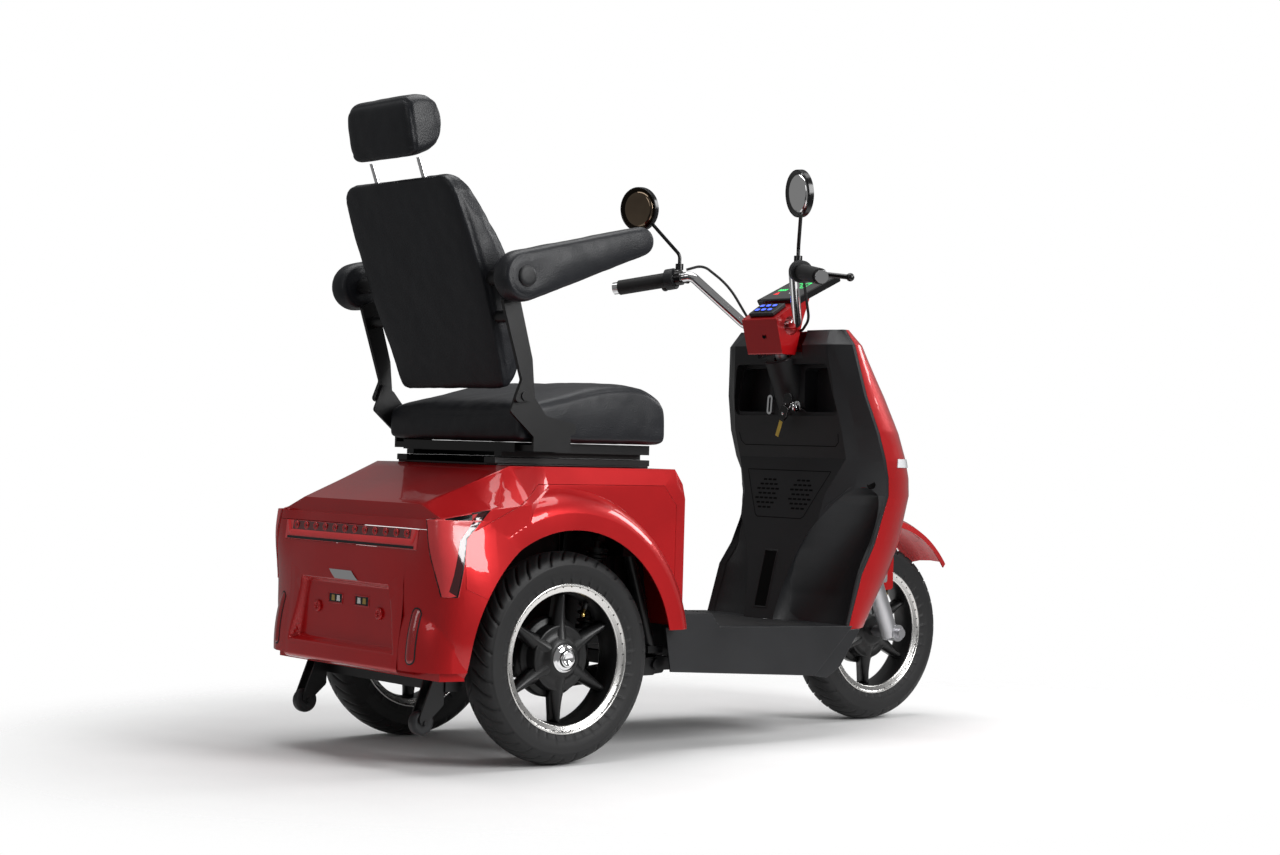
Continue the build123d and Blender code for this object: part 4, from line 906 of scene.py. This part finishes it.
def make_plate_recess():
    """What stands in and beside the recess: openings drawn as dark patches of painted shade, bosses, long
    reflectors over painted dark hollows, and the bare badge.
    """
    tail, panel = make_tray(), nodes["tail_panel"]
    hole_shades, frames, fittings, brights = [], [], [], []
    boss = [(0.0125, -0.001), (0.0118, 0.004), (0.0095, 0.0055), (0.0062, 0.0055), (0.0052, 0.003),
            (0.0045, 0.0005)]
    for side, word in ((-1, "right"), (1, "left")):
        a, b = side * 22, side * 70
        corners = [at(plate_x, y, z) for y, z in ((a, 297), (b, 297), (b, 316), (a, 316))]
        # Each opening is a flat black patch: painted shade where the hole is.
        hole_shades.append(patch(tail, corners, ahead))
        frames.append(ribbon(tail, corners + corners[:1], 0.003, ahead, rise=0.0014, step=0.02))
        for k in range(2):
            y = a + (b - a) * (0.3 + 0.38 * k)
            spot = [at(plate_x, y + c, z) for c, z in ((-6, 301), (6, 301), (5, 312), (-5, 312))]
            (fittings if k else brights).append(patch(tail, spot, ahead, 0.0008))
        spot = laid(tail, at(plate_x, side * 119, 287), ahead, 0)
        spot.y = side * 0.108
        frames.append(turned(boss, spot, -ahead))
        hole_low, low, high, hole_high = [at(plate_x, side * 234, z) for z in (202, 205, 305, 308)]
        # A black pill larger than the reflector paints the shade of the hollow it sits in.
        hole_shades.append(pill(panel, hole_low, hole_high, 0.0125, ahead, 0.0004))
        add("reflector_" + word, *pill(panel, low, high, 0.0098, ahead, 0.0022, 0.0008), "root", reflector,
            "red_lens")
    for name, parts, material, slot in (("hole_shades", hole_shades, black_plastic, "black_plastic"),
                                        ("frames", frames, paint, "red_paint"),
                                        ("plugs", fittings, brass, "chrome"),
                                        ("pins", brights, bare_label, "chrome")):
        add("recess_" + name, *both_of(*parts), "root", material, slot)
    lower, upper = [[at(plate_x, y, z) for y in ends] for z, ends in ((346, (27, -53)), (363, (50, -28)))]
    add("bare_badge", *film(tail, lower, upper, ahead, 0.0012, rise=0.0008), "root", chrome, "chrome")


make_light_bar()
make_corner_lamps()
make_plate_recess()


# ---- leg shield, controls and floor ---------------------------------------------------------
def prism(outline, origin, u, v, depth):
    """A flat plate with an outline in the directions u and v."""
    u, v = Vector(u).normalized(), Vector(v).normalized()
    over = u.cross(v).normalized() * depth
    ring = [origin + u * a / 1000 + v * b / 1000 for a, b in outline]
    return loops([ring, [p + over for p in ring]])


def make_vents():
    """Seams, cooling slots drawn as dark patches of painted shade, tunnel plaque, screw hole with painted
    shade inside, and charge light of the leg shield.
    """
    shield = nodes["leg_shield"]
    grille = ((-134, 571), (-78, 470), (-70, 465), (70, 465), (78, 470), (134, 571), (-134, 571))
    door = ((-160, 655), (-157, 636), (-146, 627), (146, 627), (157, 636), (160, 655))
    lines = [ribbon(shield, [at(x, y, z) for y, z in line], 0.0016, ahead)
             for x, line in ((820, grille), (840, door))]
    slot_shades = []
    slot = ((-5, -2), (5, -2), (5.8, 0), (5, 2), (-5, 2), (-5.8, 0))
    for middle in (-54, 54):
        for row, count in enumerate((3, 4, 5, 4, 5, 4, 3)):
            z = 518 + (row - 3) * 10.4
            for k in range(count):
                y = middle + (k - (count - 1) / 2) * 15
                # Each cooling slot is a flat near-black patch: painted shade where the opening is.
                slot_shades.append(patch(shield, [at(820, y + a, z + b) for a, b in slot], ahead))
    add("shield_seams", *both_of(*lines), "root", seam_black_and_hole_shade, "black_plastic")
    add("shield_vent_shades", *both_of(*slot_shades), "root", seam_black_and_hole_shade, "black_plastic")
    floor = film(shield, *[[at(790, y, 392), at(770, y, 266)] for y in (-19, 21)], ahead)
    border = [at(790, y, z) for y, z in ((-19, 266), (-19, 392), (21, 392), (21, 266), (-19, 266))]
    rim = ribbon(shield, border, 0.004, ahead, rise=0.0014, step=0.012)
    add("tunnel_plaque", *floor, "root", seam_black_and_hole_shade, "black_plastic")
    add("tunnel_plaque_rim", *rim, "root", black_plastic, "black_plastic")
    # The screw hole is a shallow cup whose dark inside is painted shade.
    hole = laid(shield, at(897, -206, 545), Vector((0.6, 0.8, 0)), hair)
    cup = [(0.0095, 0), (0.0088, 0.0012), (0.0075, 0.0004), (0.0001, 0.0002)]
    add("shield_screw_hole", *turned(cup, hole, (-0.75, -0.66, 0)), "root", seam_black_and_hole_shade, "black_plastic")
    bulb = laid(shield, at(852, -104, 850), down, hair)
    dome = [(0.0026, 0), (0.0022, 0.0012), (0.0001, 0.0018)]
    add("charge_light", *turned(dome, bulb, (0, 0, 1), 12), "root", glow_green, "clear_lens")


def make_foot_wells():
    """The smooth hollows for the feet, from the tunnel's flank round to the shield's rim."""
    levels = ((221, 62, 800, 221, 808, 20), (260, 60, 798, 221, 821, 33), (300, 60, 801, 221, 832, 42),
              (350, 63, 795, 221, 848, 50), (400, 82, 806, 221, 877, 44), (450, 110, 813, 221, 900, 40),
              (480, 128, 822, 221, 911, 34), (500, 139, 832, 221, 919, 28), (520, 158, 851, 216, 928, 14),
              (538, 174, 862, 208, 899, 2))
    for side, word in ((-1, "right"), (1, "left")):
        rings = []
        for i in range(len(levels) - 1):
            for j in range(6 + (i == len(levels) - 2)):
                z, y0, x0, y1, x1, deep = [a + (b - a) * j / 6 for a, b in zip(levels[i], levels[i + 1])]
                ring = []
                for k in range(33):
                    t = (1 - math.cos(math.pi * k / 32)) / 2
                    bulge = math.sin(math.pi * t) ** 0.75
                    ring.append(at(x0 + (x1 - x0) * t + deep * bulge - 0.6, side * (y0 + (y1 - y0) * t), z))
                rings.append(ring)
        add("foot_well_" + word, *sheet(rings), "root", black_plastic, "black_plastic")


def make_floor_mat():
    """Rubber ribs along the floor."""
    floor = nodes["footboard"]
    ribs = [ribbon(floor, [at(404, y, 260), at(745, y, 300)], 0.0055, down, rise=0.0013, step=0.03)
            for y in range(-198, 199, 12)]
    add("floor_mat", *both_of(*ribs), "root", rubber, "black_plastic")


def make_keys():
    """The key in its lock, with its ring, fob and tag."""
    u, v = (0, -1, 0), (0, 0, 1)
    head = prism([(-11, -9), (-13, 2), (-8, 12), (6, 14), (14, 6), (14, -6), (6, -12)], at(796, -44, 730),
                 u, v, 0.006)
    blade = prism([(-3, -9), (3, -9), (3, 9), (-3, 9)], at(806, -47, 714), ahead, v, 0.002)
    add("key_head", *head, "root", gloss_plastic, "black_plastic", edge=0.0015)
    add("key_blade", *blade, "root", chrome, "chrome")
    lean = Vector((0.1, 0.45, -0.88)).normalized()
    across = lean.cross(ahead).normalized()
    fob = prism([(0, -8), (4, -12), (24, -13), (34, -8), (34, 8), (24, 13), (4, 12), (0, 8)],
                at(801, -33, 715), lean, across, 0.007)
    stud = turned([(0.0042, 0), (0.0036, 0.0012), (0.0001, 0.0016)], at(797, -24, 698), -ahead, 16)
    tag = prism([(0, -5), (38, -5), (38, 5), (0, 5)], at(804, -13, 681), lean, across, 0.0016)
    add("key_fob", *fob, "root", gloss_plastic, "black_plastic", edge=0.002)
    add("key_fob_stud", *stud, "root", chrome, "chrome")
    add("key_tag", *tag, "root", tag_yellow, "chrome", edge=0.0005)
    ring = [at(799 + 2 * math.sin(a), -38 + 9 * math.cos(a), 718 + 9 * math.sin(a))
            for a in [*around(24), 2 * math.pi]]
    add("key_ring", *sweep(ring, 0.0009, 8), "root", chrome, "chrome")


def digit(obj, x, y, tall, wide, thick, lit):
    """A seven-bar number on the display."""
    h, w, t = tall / 2, wide / 2, thick / 2
    bars = {"a": (h, 0, t, w), "g": (0, 0, t, w), "d": (-h, 0, t, w), "f": (h / 2, w, h / 2 - t, t),
            "b": (h / 2, -w, h / 2 - t, t), "e": (-h / 2, w, h / 2 - t, t), "c": (-h / 2, -w, h / 2 - t, t)}
    return [patch(obj, [at(x + (cx + i * dx) * 0.9, y + cy + j * dy, 1010)
                        for i, j in ((-1, -1), (1, -1), (1, 1), (-1, 1))], down, 0.0005)
            for key, (cx, cy, dx, dy) in bars.items() if key in lit]


def make_display():
    """The lit numbers and signs of the display, the keypad's lights and the column's lock."""
    screen = nodes["display"]
    near, far = [[at(x, y, z) for y in (-60, 60)] for x, z in ((797, 1000), (915, 1030))]
    face = film(screen, near, far, down, 0.0003)
    add("display_face", *face, "steering", screen_black, "black_plastic")
    zero, bar = "abcdef", ((842, -2), (852, -2), (852, 2), (842, 2))
    green = digit(screen, 868, 12, 30, 15, 3, zero) + digit(screen, 868, -12, 30, 15, 3, zero)
    for k in range(4):
        green += [patch(screen, [at(a, 48 - k * 7 + b, 1010) for a, b in bar], down, 0.0005)]
    white = []
    for x, y, lit in ((830, -6, zero), (830, -15, zero), (890, -40, "bc"), (890, -50, zero)):
        white += digit(screen, x, y, 9, 5, 1.3, lit)
    add("display_green", *both_of(*green), "steering", glow_green, "clear_lens")
    add("display_white", *both_of(*white), "steering", glow_white, "clear_lens")
    warning = patch(screen, [at(822, 44, 1010), at(836, 36, 1010), at(822, 28, 1010)], down, 0.0005)
    add("display_red", *warning, "steering", glow_red, "clear_lens")
    key = ((-4, -4.5), (-2.5, -6), (2.5, -6), (4, -4.5), (4, 4.5), (2.5, 6), (-2.5, 6), (-4, 4.5))
    lean, fall = 0.843, 0.538
    lit = [patch(nodes["keypad"], [at(x + lean * a, y + b, z + fall * a) for a, b in key],
                 Vector((fall, 0, -lean)), 0.0005)
           for x, z in ((758.9, 917.8), (774, 927.4)) for y in (-20, 0, 20)]
    add("keypad_lights", *both_of(*lit), "steering", glow_blue, "clear_lens")
    lock = laid(nodes["column_cover"], at(755, -8, 868), ahead, 0.0003)
    barrel = [(0.0062, 0), (0.0058, 0.0008), (0.0042, 0.0002), (0.0001, 0.0001)]
    add("column_lock", *turned(barrel, lock, -ahead), "steering", seam_black_and_hole_shade, "black_plastic")


def make_mirrors():
    """Rim and glass of both mirrors; the left glass is darkened to paint in a dim reflection."""
    # The left glass gets the darkened copy of the mirror finish: painted shade on its reflection.
    for side, word, glass in ((-1, "right", mirror), (1, "left", mirror_painted_dim)):
        facing = Vector((-1, side * -0.25, -0.1)).normalized()
        centre = at(603, side * 261, 1154) + facing * 0.0056
        radius = 0.0472
        rim = [(radius + r, rise) for r, rise in (
            (0.0018, -0.0012), (0.0022, 0.0006), (0.0012, 0.0012), (0, 0.0002))]
        add("mirror_rim_" + word, *turned(rim, centre, facing, 48), "steering", gloss_plastic, "mirror_black")
        pane = [(radius, 0.0003), (radius * 0.66, 0.0007), (radius * 0.33, 0.0009), (0.0002, 0.001)]
        add("mirror_glass_" + word, *turned(pane, centre, facing, 48), "steering", glass, "chrome")


make_foot_wells()
make_vents()
make_floor_mat()
make_keys()
make_display()
make_mirrors()
dress(("body_cover", "side_panel_right", "side_panel_left", "tail_panel", "front_cover", "front_fender",
       "column_cover"), paint)
dress(("rear_lamps",), lens_red)
dress(("front_lamps",), clear_lens, 0.0004)
dress(("keypad",), black_plastic, 0.0004)
dress(("control_cables",), rubber, 0)
dress(("dash_fittings",), chrome, 0.0008)
dress(("footboard", "leg_shield", "lower_fairing", "roller_left", "roller_right", "switch_pods"),
      black_plastic)
dress(("grips",), rubber, 0)
dress(("drive_motor", "rear_axle"), black_cast)
dress(("frame_tubes", "swing_arms", "rear_shocks", "battery_pack", "anti_tip_arms", "seat_base",
       "seat_carriage", "backrest_arms"), black_steel)
dress(("fork", "front_caliper"), cast_alloy)
dress(("handlebar", "headrest_posts"), chrome)
dress(("mirror_left", "mirror_right", "display", "brake_controls"), gloss_plastic)
